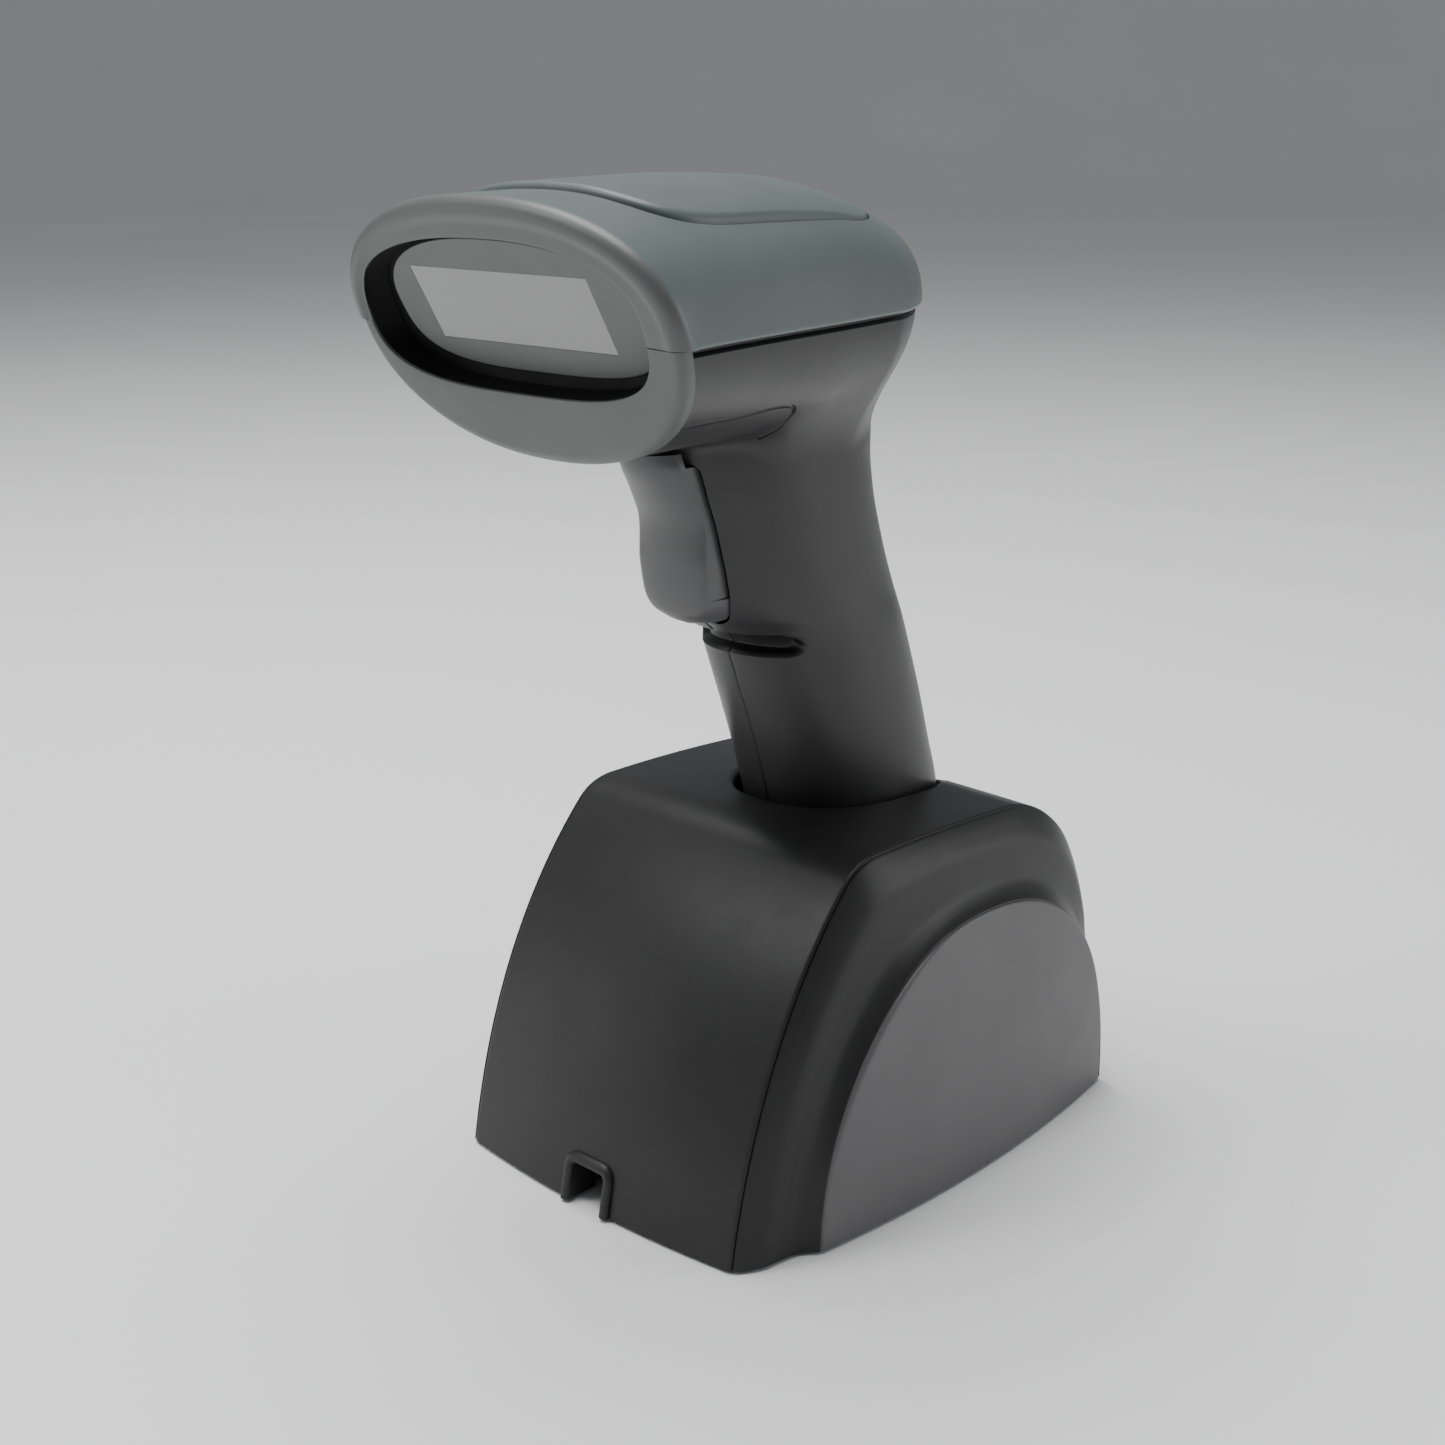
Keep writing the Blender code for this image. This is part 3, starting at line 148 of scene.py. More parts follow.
HOLD_LINE_RADIUS = 0.42  # fine groove round the thumb rest on the head's underside
HOLD_LINE = ((0.0, 27.4, -12.0), (0.2, 25.4, -1.5), (0.4, 23.8, 8.5), (0.58, 23.0, 17.0), (0.7, 22.1, 21.3),
             (0.8, 19.9, 24.1), (0.9, 16.6, 25.0), (1.0, 13.6, 23.6))  # share, half width, depth

HANDLE_FRONT = ((24.0, 52.0), (40.0, 47.5), (50.0, 44.5), (59.0, 42.0), (66.0, 39.8), (73.0, 37.3),
                (81.0, 34.3), (88.0, 31.4), (91.5, 28.2), (94.0, 25.0), (99.0, 21.6), (104.0, 19.9),
                (110.0, 18.4), (115.0, 17.0), (122.0, 16.0))
HANDLE_REAR = ((24.0, 81.6), (40.0, 82.0), (50.0, 81.2), (59.0, 79.3), (65.0, 77.3), (73.0, 74.8),
               (88.0, 69.3), (104.0, 62.9), (112.0, 60.3), (119.0, 59.2), (141.0, 59.4))
HANDLE_HALF = ((24.0, 13.6), (50.0, 14.2), (73.0, 14.0), (88.0, 14.0), (104.0, 14.2), (120.0, 14.8))
HEAD_HALF = ((-20.0, 34.9), (-14.0, 34.1), (0.0, 31.4), (15.0, 29.0), (29.0, 27.0), (45.0, 24.2))
CROWN = ((-20.0, 159.4), (0.0, 160.0), (20.0, 160.5), (33.0, 160.5), (40.0, 159.6), (47.0, 158.0),
         (57.0, 155.0), (62.0, 153.0), (67.0, 149.8), (71.5, 146.0), (75.0, 143.4))
TRIGGER_SHAPE = (  # height, front depth in the middle, half width
    (93.5, 22.4, 3.2), (94.3, 20.6, 5.0), (96.0, 18.9, 6.3), (99.0, 18.3, 7.2), (103.5, 17.8, 7.5),
    (109.5, 16.8, 7.4), (115.0, 13.8, 7.1), (119.3, 10.8, 6.5), (121.4, 9.9, 5.6),
)
TRIGGER_BACK = 26.8
TRIGGER_TOP = 119.3  # above this the trigger stands in front of the handle
TRIGGER_CAP_BACK = 15.8
LEDGE_Z = 98.4  # below this the trigger's sides spread out to its skirt
SLOT_GAP = 0.38
SLOT_HIGH_Z = 119.7

# Camera
CAMERA_AT = (0.2064, -0.1919 + FOOT_LINE * MM, 0.1690)
CAMERA_AZIMUTH = math.radians(42.855)
CAMERA_ELEVATION = math.radians(17.162)
CAMERA_LENS = 48.73


# ------------------------------ shape rules

def curve(points, at, column=1):
    """Smooth interpolation (monotone cubic) of one column over the first, for arrays."""
    xs = np.array([p[0] for p in points])
    ys = np.array([p[column] for p in points])
    slopes = np.diff(ys) / np.diff(xs)
    tangents = np.empty(len(xs))
    tangents[0] = slopes[0]
    tangents[-1] = slopes[-1]
    a = slopes[:-1]
    b = slopes[1:]
    same = a * b > 0
    tangents[1:-1] = np.where(same, 2 * a * b / np.where(same, a + b, 1.0), 0.0)
    x = np.clip(at, xs[0], xs[-1])
    i = np.clip(np.searchsorted(xs, x, side="right") - 1, 0, len(xs) - 2)
    width = xs[i + 1] - xs[i]
    t = (x - xs[i]) / width
    return ((2 * t**3 - 3 * t**2 + 1) * ys[i] + (t**3 - 2 * t**2 + t) * width * tangents[i]
            + (3 * t**2 - 2 * t**3) * ys[i + 1] + (t**3 - t**2) * width * tangents[i + 1])


def smooth_step(t):
    t = np.clip(t, 0.0, 1.0)
    return t * t * (3 - 2 * t)


def round_edge(radius, steps):
    """Steps along a quarter circle: how far each lies from one face of the edge and from the other."""
    for turn in np.linspace(0, math.pi / 2, steps):
        yield radius * (1 - math.cos(turn)), radius * (1 - math.sin(turn))


def squircle(angle, half_x, half_y, roundness):
    """Points of a superellipse, angle counted from +X."""
    c = np.cos(angle)
    s = np.sin(angle)
    power = 2.0 / roundness
    return half_x * np.sign(c) * abs(c) ** power, half_y * np.sign(s) * abs(s) ** power


def seam_z(y):
    """Height of the seam between the cover and the body."""
    rise = SEAM_TAIL_RISE * np.maximum(y - SEAM_TAIL_Y, 0.0) ** 2
    return SEAM_FRONT_Z + SEAM_SLOPE * (y - SEAM_FRONT_Y) + rise


def closing(y, inset, power):
    """1 along the head's front part, falling to 0 at its tail."""
    t = np.clip((y - HEAD_ROUND_FROM) / (HEAD_REAR - TAIL_SHARE * inset - HEAD_ROUND_FROM), 0.0, 1.0)
    return (1 - t**power) ** (1 / power)


def head_half_width(y, inset=0.0):
    return (curve(HEAD_HALF, y) - inset) * closing(y, inset, WIDTH_CLOSING)


def head_up(y, inset=0.0):
    return np.maximum(curve(CROWN, y) - seam_z(y) - inset, 0.0)


def lower_half_width(y, z):
    """Half width of the lower head at a height, or -1 below it."""
    below = np.maximum(seam_z(y) - z, 0.0)
    depth = HEAD_DOWN * closing(y, LOWER_INSET, DEPTH_CLOSING)
    share = np.clip(below / np.maximum(depth, 1e-6), 0.0, 1.0)
    side = head_half_width(y, LOWER_INSET) * (1 - share**LOWER_ROUNDNESS) ** (1 / LOWER_ROUNDNESS)
    return np.where(below < depth, side, -1.0)


def handle_middle(z):
    return (curve(HANDLE_FRONT, z) + curve(HANDLE_REAR, z)) / 2


def handle_radius(angle, z):
    half_y = (curve(HANDLE_REAR, z) - curve(HANDLE_FRONT, z)) / 2
    half_x = curve(HANDLE_HALF, z)
    n = HANDLE_ROUNDNESS
    return ((abs(np.cos(angle)) / half_x) ** n + (abs(np.sin(angle)) / half_y) ** n) ** (-1 / n)


def fillet_drop(angle, distance):
    """How far the fillet hangs below the head at a distance out from the handle's side."""
    front = smooth_step((-np.sin(angle) - 0.5) / 0.4)
    radius = NECK_FILLET + (NECK_FILLET_FRONT - NECK_FILLET) * front
    rest = np.clip(radius - distance, 0.0, radius)
    return radius - np.sqrt(radius**2 - rest**2)


def body_radius(angle, z, middle):
    """Distance from the middle to the body's side: the handle, and the head above it with a fillet."""
    handle = handle_radius(angle, z)
    inner = handle
    outer = np.full_like(angle, 95.0)
    for _ in range(30):
        r = (inner + outer) / 2
        y = middle + r * np.sin(angle)
        half = lower_half_width(y, z + fillet_drop(angle, r - handle))
        inside = (y > -26.0) & (y < HEAD_REAR) & (r * abs(np.cos(angle)) <= half)
        inner = np.where(inside, r, inner)
        outer = np.where(inside, outer, r)
    return inner


def face_y(z, depth=0.0):
    """Depth of the face plane at a height, or of a plane that lies `depth` behind it."""
    return FACE_Y - math.tan(FACE_TILT) * (z - FACE_Z) + depth / math.cos(FACE_TILT)


def on_face(x, z, depth):
    """The point at (x, z) on the face plane, moved back by depth along the plane's normal."""
    return (x, face_y(z) + depth * math.cos(FACE_TILT), z + depth * math.sin(FACE_TILT))


def rim_point(angle, inset, depth, lower):
    """A point of the face's rim, inset from the head's outline and set back from the face."""
    y = FACE_Y
    for _ in range(12):
        if lower:
            half_x = head_half_width(y) - LOWER_INSET - inset
            x, z = squircle(angle, half_x, HEAD_DOWN - inset, LOWER_ROUNDNESS)
        else:
            x, z = squircle(angle, head_half_width(y, inset), head_up(y, inset), UPPER_ROUNDNESS)
        height = seam_z(y) + z
        y = face_y(height, depth)
    return (float(x), float(y), float(height))


def opening_outline(angle, inset, left, low):
    """A point (x, z) of the face's opening; the insets are those of its top and right, left and low side."""
    across, up = squircle(angle, OPENING_RIGHT, OPENING_UP, OPENING_ROUNDNESS)
    near = 0.0
    far = 2.0
    for _ in range(30):
        reach = (near + far) / 2
        x = across * reach
        z = SEAM_FRONT_Z + up * reach - OPENING_Z
        half_x = OPENING_RIGHT - inset if x > 0 else OPENING_LEFT - left
        half_z = OPENING_UP - inset if z > 0 else OPENING_DOWN - low
        roundness = OPENING_ROUNDNESS if z > 0 else OPENING_ROUNDNESS_LOW
        if (abs(x) / half_x) ** roundness + (abs(z) / half_z) ** roundness < 1:
            near = reach
        else:
            far = reach
    return float(across * near), float(SEAM_FRONT_Z + up * near)


def opening_point(angle, inset, depth):
    """A point of the face's opening, inset from its edge and set back from the sunk face."""
    x, z = opening_outline(angle, inset, inset, inset)
    return on_face(x, z, FACE_SINK + depth)


def plate_depth(z):
    """How far the window plate's plane lies behind the face at a height of the face plane."""
    return FACE_SINK + 0.02 + PLATE_LEAN * max(PLATE_TOP_Z - z, 0.0)


def plate_point(angle, inset, behind):
    """A point of the window plate's outline on the plate's plane, inset from it, and behind it."""
    x, z = opening_outline(angle, PLATE_INSET + inset, PLATE_INSET_LEFT + inset, PLATE_INSET_LOW + inset)
    return on_face(x, z, plate_depth(z) + behind)


def crown_z(x, y):
    """Height of the cover's outside above a point in plan."""
    across = np.clip(abs(x) / head_half_width(y), 0.0, 1.0)
    return seam_z(y) + head_up(y) * (1 - across**UPPER_ROUNDNESS) ** (1 / UPPER_ROUNDNESS)


# ------------------------------ mesh helpers

def place(x, y, z):
    """Design millimetres to row-frame metres."""
    return Vector((x, y + FOOT_LINE, z)) * MM


def finish_mesh(name, bm):
    bmesh.ops.remove_doubles(bm, verts=bm.verts, dist=2e-7)
    bmesh.ops.dissolve_degenerate(bm, edges=bm.edges, dist=1e-7)
    ngons = [f for f in bm.faces if len(f.verts) > 4]
    if ngons:
        bmesh.ops.triangulate(bm, faces=ngons, ngon_method="EAR_CLIP")
    bmesh.ops.recalc_face_normals(bm, faces=bm.faces)
    mesh = bpy.data.meshes.new(name)
    bm.to_mesh(mesh)
    bm.free()
    obj = bpy.data.objects.new(name, mesh)
    bpy.context.scene.collection.objects.link(obj)
    mesh.shade_smooth()
    mesh.set_sharp_from_angle(angle=SHARP)
    return obj


def strip_cap(bm, ring):
    """Caps a ring that runs out along one side of a wall and back along its other side."""
    last = len(ring) - 1
    for i in range(len(ring) // 2 - 1):
        bm.faces.new((ring[i], ring[i + 1], ring[last - i - 1], ring[last - i]))


def loft(name, rings, wrap=True, close=False, strip=False):
    """Joins rings of design points. wrap closes each ring, close joins the last ring to the first."""
    bm = bmesh.new()
    rows = [[bm.verts.new(place(*p)) for p in ring] for ring in rings]
    count = len(rows[0])
    pairs = list(zip(rows, rows[1:]))
    if close:
        pairs.append((rows[-1], rows[0]))
    for lower, upper in pairs:
        for i in range(count if wrap else count - 1):
            j = (i + 1) % count
            bm.faces.new((lower[i], lower[j], upper[j], upper[i]))
    if strip:
        strip_cap(bm, rows[0])
        strip_cap(bm, rows[-1])
    elif not close:
        bm.faces.new(list(reversed(rows[0])))
        bm.faces.new(rows[-1])
    return finish_mesh(name, bm)


def rod(name, start, end, radius):
    """A cylinder between two design points."""
    a = place(*start)
    b = place(*end)
    bm = bmesh.new()
    bmesh.ops.create_cone(bm, cap_ends=True, segments=24, radius1=radius * MM, radius2=radius * MM,
                          depth=(b - a).length)
    turn = (b - a).to_track_quat("Z", "Y").to_matrix().to_4x4()
    bmesh.ops.transform(bm, matrix=Matrix.Translation((a + b) / 2) @ turn, verts=bm.verts)
    return finish_mesh(name, bm)


def block(name, centre, size, turn):
    """A turned box, used only for cutting."""
    bm = bmesh.new()
    bmesh.ops.create_cube(bm, size=1.0)
    bmesh.ops.scale(bm, vec=Vector(size) * MM, verts=bm.verts)
    bmesh.ops.transform(bm, matrix=Matrix.Translation(place(*centre)) @ turn, verts=bm.verts)
    return finish_mesh(name, bm)


def cut(obj, cutters):
    """Cuts obj with each cutter, keeps the result as its mesh and removes the cutters."""
    for cutter in cutters:
        step = obj.modifiers.new("cut", "BOOLEAN")
        step.object = cutter
        step.solver = "EXACT"
    shown = obj.evaluated_get(bpy.context.evaluated_depsgraph_get())
    mesh = bpy.data.meshes.new_from_object(shown)
    obj.modifiers.clear()
    old = obj.data
    obj.data = mesh
    bpy.data.meshes.remove(old)
    for cutter in cutters:
        bpy.data.objects.remove(cutter)
    mesh.shade_smooth()
    mesh.set_sharp_from_angle(angle=SHARP)
    return obj


def finish_piece(obj, body, material, slot, *nodes):
    """Rides a piece on its body, in place of the CAD nodes that it stands for."""
    obj.data.materials.clear()
    obj.data.materials.append(material)
    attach(obj, body)
    if nodes:
        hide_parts(*nodes)


# ------------------------------ materials

class Nodes:
    """Short names for building a node material."""

    def __init__(self, name):
        self.material = bpy.data.materials.new(name)
        self.material.use_nodes = True
        self.tree = self.material.node_tree
        self.shader = self.tree.nodes["Principled BSDF"]
        self.where = self.tree.nodes.new("ShaderNodeTexCoord").outputs["Object"]

    def make(self, kind, values):
        """A new node with some of its inputs set."""
        made = self.tree.nodes.new("ShaderNode" + kind)
        for socket, value in values.items():
            made.inputs[socket].default_value = value
        return made

    def noise(self, scale, detail=3.0, roughness=0.5, distortion=0.0):
        values = {"Scale": scale, "Detail": detail, "Roughness": roughness, "Distortion": distortion}
        made = self.make("TexNoise", values)
        self.tree.links.new(self.where, made.inputs["Vector"])
        return made.outputs["Fac"]

    def ramp(self, value, start, end, low=0.0, high=1.0):
        """Low before start, high after end; end can lie below start."""
        made = self.make("MapRange", {"From Min": start, "From Max": end, "To Min": low, "To Max": high})
        self.tree.links.new(value, made.inputs["Value"])
        return made.outputs["Result"]

    def spread(self, value, low, high):
        """Maps the middle of a noise to a range."""
        return self.ramp(value, 0.3, 0.7, low, high)

    def mix(self, factor, first, second):
        """Mixes two colours by a mask; the first can be a socket or a colour."""
        made = self.tree.nodes.new("ShaderNodeMix")
        made.data_type = "RGBA"
        self.tree.links.new(factor, made.inputs["Factor"])
        if isinstance(first, tuple):
            made.inputs[6].default_value = (*first, 1.0)
        else:
            self.tree.links.new(first, made.inputs[6])
        made.inputs[7].default_value = (*second, 1.0)
        return made.outputs[2]

    def colour(self, noise, first, second):
        """Base colour that a noise spreads between two."""
        self.link(self.mix(self.spread(noise, 0.0, 1.0), first, second), "Base Color")

    def bump(self, height, strength, distance):
        made = self.make("Bump", {"Strength": strength, "Distance": distance})
        self.tree.links.new(height, made.inputs["Height"])
        self.tree.links.new(made.outputs["Normal"], self.shader.inputs["Normal"])

    def work(self, operation, first, second=0.0):
        """A maths node; either value can be a socket or a number."""
        made = self.tree.nodes.new("ShaderNodeMath")
        made.operation = operation
        for socket, value in zip(made.inputs, (first, second)):
            if isinstance(value, float):
                socket.default_value = value
            else:
                self.tree.links.new(value, socket)
        return made.outputs[0]

    def axis(self, name):
        made = self.tree.nodes.new("ShaderNodeSeparateXYZ")
        self.tree.links.new(self.where, made.inputs[0])
        return made.outputs[name]

    def link(self, value, socket):
        self.tree.links.new(value, self.shader.inputs[socket])

    def set(self, socket, value):
        self.shader.inputs[socket].default_value = value


def moulded(name, colour, roughness, grain=0.12, specular=0.5, zone=None):
    """Injection-moulded plastic: fine spark-erosion grain, faint flow marks and handling sheen."""
    n = Nodes(name)
    darker = tuple(c * 0.94 for c in colour)
    lighter = tuple(c * 1.06 for c in colour)
    base = n.mix(n.spread(n.noise(55.0, 4.0, 0.6, 0.4), 0.0, 1.0), darker, lighter)
    # a zone mask lays a second colour over the grain: painted shade on the body, the face's own grey on the
    # cover
    if zone:
        mask, other = zone
        base = n.mix(mask(n), base, other)
    n.link(base, "Base Color")
    n.link(n.spread(n.noise(90.0, 5.0, 0.65), roughness - 0.03, roughness + 0.04), "Roughness")
    n.bump(n.noise(2600.0, 2.0, 0.55), grain, 0.00012)
    n.set("Specular IOR Level", specular)
    return n.material


def metal(name, colour, roughness):
    """Plain metal with fine working marks."""
    n = Nodes(name)
    n.colour(n.noise(220.0, 4.0), tuple(c * 0.88 for c in colour), colour)
    n.link(n.spread(n.noise(1200.0, 3.0), roughness - 0.06, roughness + 0.08), "Roughness")
    n.bump(n.noise(1200.0, 2.0), 0.06, 0.00005)
    n.set("Metallic", 1.0)
    return n.material


def frosted_window():
    """Smooth light grey window, satin inside, with a thin clear surface."""
    n = Nodes("frosted_window")
    n.colour(n.noise(35.0, 3.0), (0.228, 0.229, 0.226), (0.243, 0.244, 0.241))
    n.link(n.spread(n.noise(120.0, 3.0), 0.3, 0.36), "Roughness")
    n.bump(n.noise(1800.0, 2.0), 0.02, 0.00005)
    n.set("Coat Weight", 0.3)
    n.set("Coat Roughness", 0.08)
    return n.material


def board_green():
    """Solder mask with a hint of the tracks beneath it."""
    n = Nodes("board_green")
    n.colour(n.noise(700.0, 1.0, 0.3), (0.012, 0.11, 0.045), (0.03, 0.2, 0.085))
    n.link(n.spread(n.noise(400.0, 2.0), 0.35, 0.5), "Roughness")
    n.bump(n.noise(700.0, 1.0, 0.3), 0.15, 0.00005)
    return n.material


def lens_clear():
    """Moulded clear lens."""
    n = Nodes("lens_clear")
    n.colour(n.noise(60.0, 2.0), (0.55, 0.58, 0.62), (0.62, 0.65, 0.68))
    n.link(n.spread(n.noise(200.0, 2.0), 0.04, 0.08), "Roughness")
    n.set("Transmission Weight", 0.8)
    n.set("IOR", 1.49)
    return n.material


def soft_rubber():
    """Matte rubber with a dusty bloom."""
    n = Nodes("soft_rubber")
    n.colour(n.noise(300.0, 5.0, 0.7), (0.014, 0.014, 0.014), (0.032, 0.032, 0.033))
    n.link(n.spread(n.noise(150.0, 3.0), 0.78, 0.92), "Roughness")
    n.bump(n.noise(1500.0, 3.0), 0.25, 0.00015)
    return n.material


def painted_shade_places(n):
    """Mask of the finger groove and of a band just under the cover, painted near black as shade."""
    straight = (GROOVE_HALF_X - GROOVE_HALF_Z) * MM
    across = n.work("MAXIMUM", n.work("SUBTRACT", n.work("ABSOLUTE", n.axis("X")), straight), 0.0)
    up = n.work("SUBTRACT", n.axis("Z"), GROOVE_Z * MM)
    away = n.work("SQRT", n.work("ADD", n.work("POWER", across, 2.0), n.work("POWER", up, 2.0)))
    # painted shade inside the finger groove
    pill = n.ramp(away, (GROOVE_HALF_Z + 0.1) * MM, (GROOVE_HALF_Z - GROOVE_BLEND) * MM)
    pill = n.work("MULTIPLY", pill, n.ramp(n.axis("Y"), 0.012, 0.006))
    # painted shadow in a band just under the cover's edge, where its overhang shades the body
    level = n.work("SUBTRACT", n.axis("Z"), n.work("MULTIPLY", n.axis("Y"), SEAM_SLOPE))
    seam = float(seam_z(-FOOT_LINE)) * MM
    return n.work("MAXIMUM", pill, n.ramp(level, seam - 1.3 * MM, seam - 0.8 * MM))


def face_zone(n):
    """The cover's rim and its share of the face, which are grey like the bezel."""
    lean = n.work("MULTIPLY", n.axis("Z"), math.sin(FACE_TILT))
    depth = n.work("ADD", n.work("MULTIPLY", n.axis("Y"), math.cos(FACE_TILT)), lean)
    face = ((FOOT_LINE + FACE_Y) * math.cos(FACE_TILT) + FACE_Z * math.sin(FACE_TILT)) * MM
    return n.ramp(depth, face + FACE_GREY[1] * MM, face + FACE_GREY[0] * MM)


FACE_COLOUR = (0.098, 0.1, 0.099)
# near black used as painted shade in the finger groove and under the cover's edge
PAINTED_SHADE_BLACK = (0.004, 0.004, 0.004)
CRADLE = moulded("cradle_plastic", (0.019, 0.0188, 0.0195), 0.38, specular=0.3)
SIDE_PANEL = moulded("side_panel_plastic", (0.105, 0.103, 0.106), 0.46)
# the body's zone is painted shade: near black in the finger groove and in a band under the cover
BODY = moulded("body_plastic", (0.034, 0.0335, 0.035), 0.38, specular=0.34, zone=(painted_shade_places, PAINTED_SHADE_BLACK))
COVER = moulded("cover_plastic", (0.098, 0.122, 0.122), 0.42, zone=(face_zone, FACE_COLOUR))
FACE = moulded("face_plastic", FACE_COLOUR, 0.5)
BLACK = moulded("recess_plastic", (0.003, 0.003, 0.003), 0.6, specular=0.15)
TRIGGER = moulded("trigger_plastic", (0.084, 0.084, 0.086), 0.45)
INSIDE = moulded("inside_plastic", (0.02, 0.02, 0.021), 0.6)
COMPONENT = moulded("component_plastic", (0.022, 0.022, 0.024), 0.35, grain=0.05)
WRAP = moulded("battery_wrap_plastic", (0.03, 0.09, 0.26), 0.3, grain=0.03)
STEEL = metal("plain_steel", (0.55, 0.55, 0.56), 0.32)
GOLD = metal("gold_plating", (0.83, 0.61, 0.28), 0.24)
WINDOW = frosted_window()
BOARD = board_green()
LENS = lens_clear()
RUBBER = soft_rubber()

SLOT_MATERIALS = {
    "cradle_shell": CRADLE, "side_panel": SIDE_PANEL, "body_shell": BODY, "cover_green": COVER,
    "top_panel": COVER, "face_grey": FACE, "recess_black": BLACK, "window_frosted": WINDOW,
    "trigger": TRIGGER, "inner_plastic": INSIDE, "rubber": RUBBER, "steel": STEEL,
    "contact_brass": GOLD, "circuit_board": BOARD, "component_black": COMPONENT,
    "lens_glass": LENS, "battery_wrap": WRAP,
}


def dress_cad_nodes():
    """Gives every CAD node the material of its slot; the ones that stay visible keep it."""
    for entry in frame["record"]["subparts"]:
        mesh = frame["nodes"][entry["node"]].data
        mesh.materials.clear()
        mesh.materials.append(SLOT_MATERIALS[entry["material_slot"]])


# ------------------------------ cradle

def bezier(a, b, c, steps):
    """Points of a quadratic arc from a to c with control b, without its last point."""
    made = []
    for i in range(steps):
        t = i / steps
        made.append(tuple((1 - t) ** 2 * a[k] + 2 * t * (1 - t) * b[k] + t * t * c[k] for k in (0, 1)))
    return made


def saddle_outline(detail):
    """The cradle's side outline (depth, height) from the front foot, over the top, to the rear foot."""
    knee = (26.5, CRADLE_TOP - 2.8)
    lip = (34.5, CRADLE_TOP)
    crest = (71.0, CRADLE_TOP - 1.6)
    heel = (CRADLE_REAR - 0.9, 34.0)
    points = bezier((0.0, FOOT_LIFT), (6.0, 36.0), knee, 8 * detail)
    points += bezier(knee, (29.4, CRADLE_TOP), lip, 4 * detail)
    points += bezier(lip, (53.0, CRADLE_TOP), crest, 3 * detail)
    points += bezier(crest, (CRADLE_REAR - 4.0, CRADLE_TOP - 5.5), heel, 8 * detail)
    points += bezier(heel, (CRADLE_REAR - 0.2, 18.0), (CRADLE_REAR, FOOT_LIFT), 3 * detail)
    return np.array(points + [(CRADLE_REAR, FOOT_LIFT)])


def outline_normals(points):
    """Unit normals of an open outline, pointing out of the cradle; level at its two feet."""
    ahead = np.vstack([points[1:], points[-1:]])
    behind = np.vstack([points[:1], points[:-1]])
    run = ahead - behind
    run /= np.linalg.norm(run, axis=1)[:, None]
    normals = np.column_stack([-run[:, 1], run[:, 0]])
    normals[0] = (-1.0, 0.0)
    normals[-1] = (1.0, 0.0)
    return normals


OUTLINE = saddle_outline(7)
NORMALS = outline_normals(OUTLINE)


def cradle_bow(y, x):
    """How far the centre shell swells outward at x, most at the front."""
    front = np.clip((40.0 - y) / 40.0, 0.0, 1.0)
    return (REAR_BOW + (FRONT_BOW - REAR_BOW) * front) * (1 - (x / SEAM_X) ** 2)


def edge_roll(distance, radius=0.55):
    """How far a surface drops on a rounded edge, at a distance from the edge."""
    t = np.clip(1 - distance / radius, 0.0, 1.0)
    return radius * (1 - math.sqrt(1 - t * t * 0.96))


def centre_shell():
    edge = SEAM_X - SEAM_GAP
    near = (0.0, 0.06, 0.16, 0.3, 0.5, 0.8, 1.6)
    stations = [-(edge - d) for d in near] + list(np.linspace(-27.0, 27.0, 37))
    stations += [edge - d for d in reversed(near)]
    rings = []
    for x in stations:
        lift = cradle_bow(OUTLINE[:, 0], x) - edge_roll(edge - abs(x))
        outer = OUTLINE + NORMALS * lift[:, None]
        inner = OUTLINE + NORMALS * (cradle_bow(OUTLINE[:, 0], x) - WALL)[:, None]
        inner[:, 1] = np.maximum(inner[:, 1], FOOT_LIFT)
        rings.append([(x, y, z) for y, z in outer] + [(x, y, z) for y, z in inner[::-1]])
    shell = loft("cradle_centre", rings, strip=True)
    return cut(shell, [well_cutter(), notch_cutter()])


def top_height(y):
    """Height of the cradle's top in its middle, at a depth."""
    keep = (OUTLINE[:, 0] > 20.0) & (OUTLINE[:, 1] > 45.0)
    return np.interp(y, OUTLINE[keep, 0], OUTLINE[keep, 1]) + REAR_BOW


def well_cutter():
    """Prism along the way out that opens the well's mouth, with a rolled rim."""
    lean = math.tan(math.radians(LIFT_LEAN))
    middle_at_top = float(handle_middle(CRADLE_TOP))
    rings = []
    for sink, grow in ((-16.0, 0.0), (-1.3, 0.0), (-0.75, 0.12), (-0.35, 0.38), (-0.08, 0.85), (0.08, 1.5),
                       (4.0, 1.6)):
        ring = []
        for i in range(96):
            x, y = squircle(2 * math.pi * i / 96, MOUTH_HALF_X + grow, MOUTH_HALF_Y + grow, MOUTH_ROUNDNESS)
            y = middle_at_top + y - sink * lean
            ring.append((x, y, float(top_height(y)) + sink))
        rings.append(ring)
    return loft("well_cutter", rings)


def notch_outline(grow):
    """Arch of the cable notch (x, z), from foot to foot, with rounded shoulders."""
    half = NOTCH_WIDTH / 2 + grow
    top = FOOT_LIFT + NOTCH_HEIGHT + grow
    corner = 1.6 + grow
    points = [(-half, -1.0)]
    for i in range(7):
        a = math.pi - math.pi / 2 * i / 6
        points.append((-half + corner + corner * math.cos(a), top - corner + corner * math.sin(a)))
    return points + [(-x, z) for x, z in reversed(points)]


def notch_cutter():
    return loft("notch_cutter", [[(x, y, z) for x, z in notch_outline(0.0)] for y in (-8.0, 6.0)])


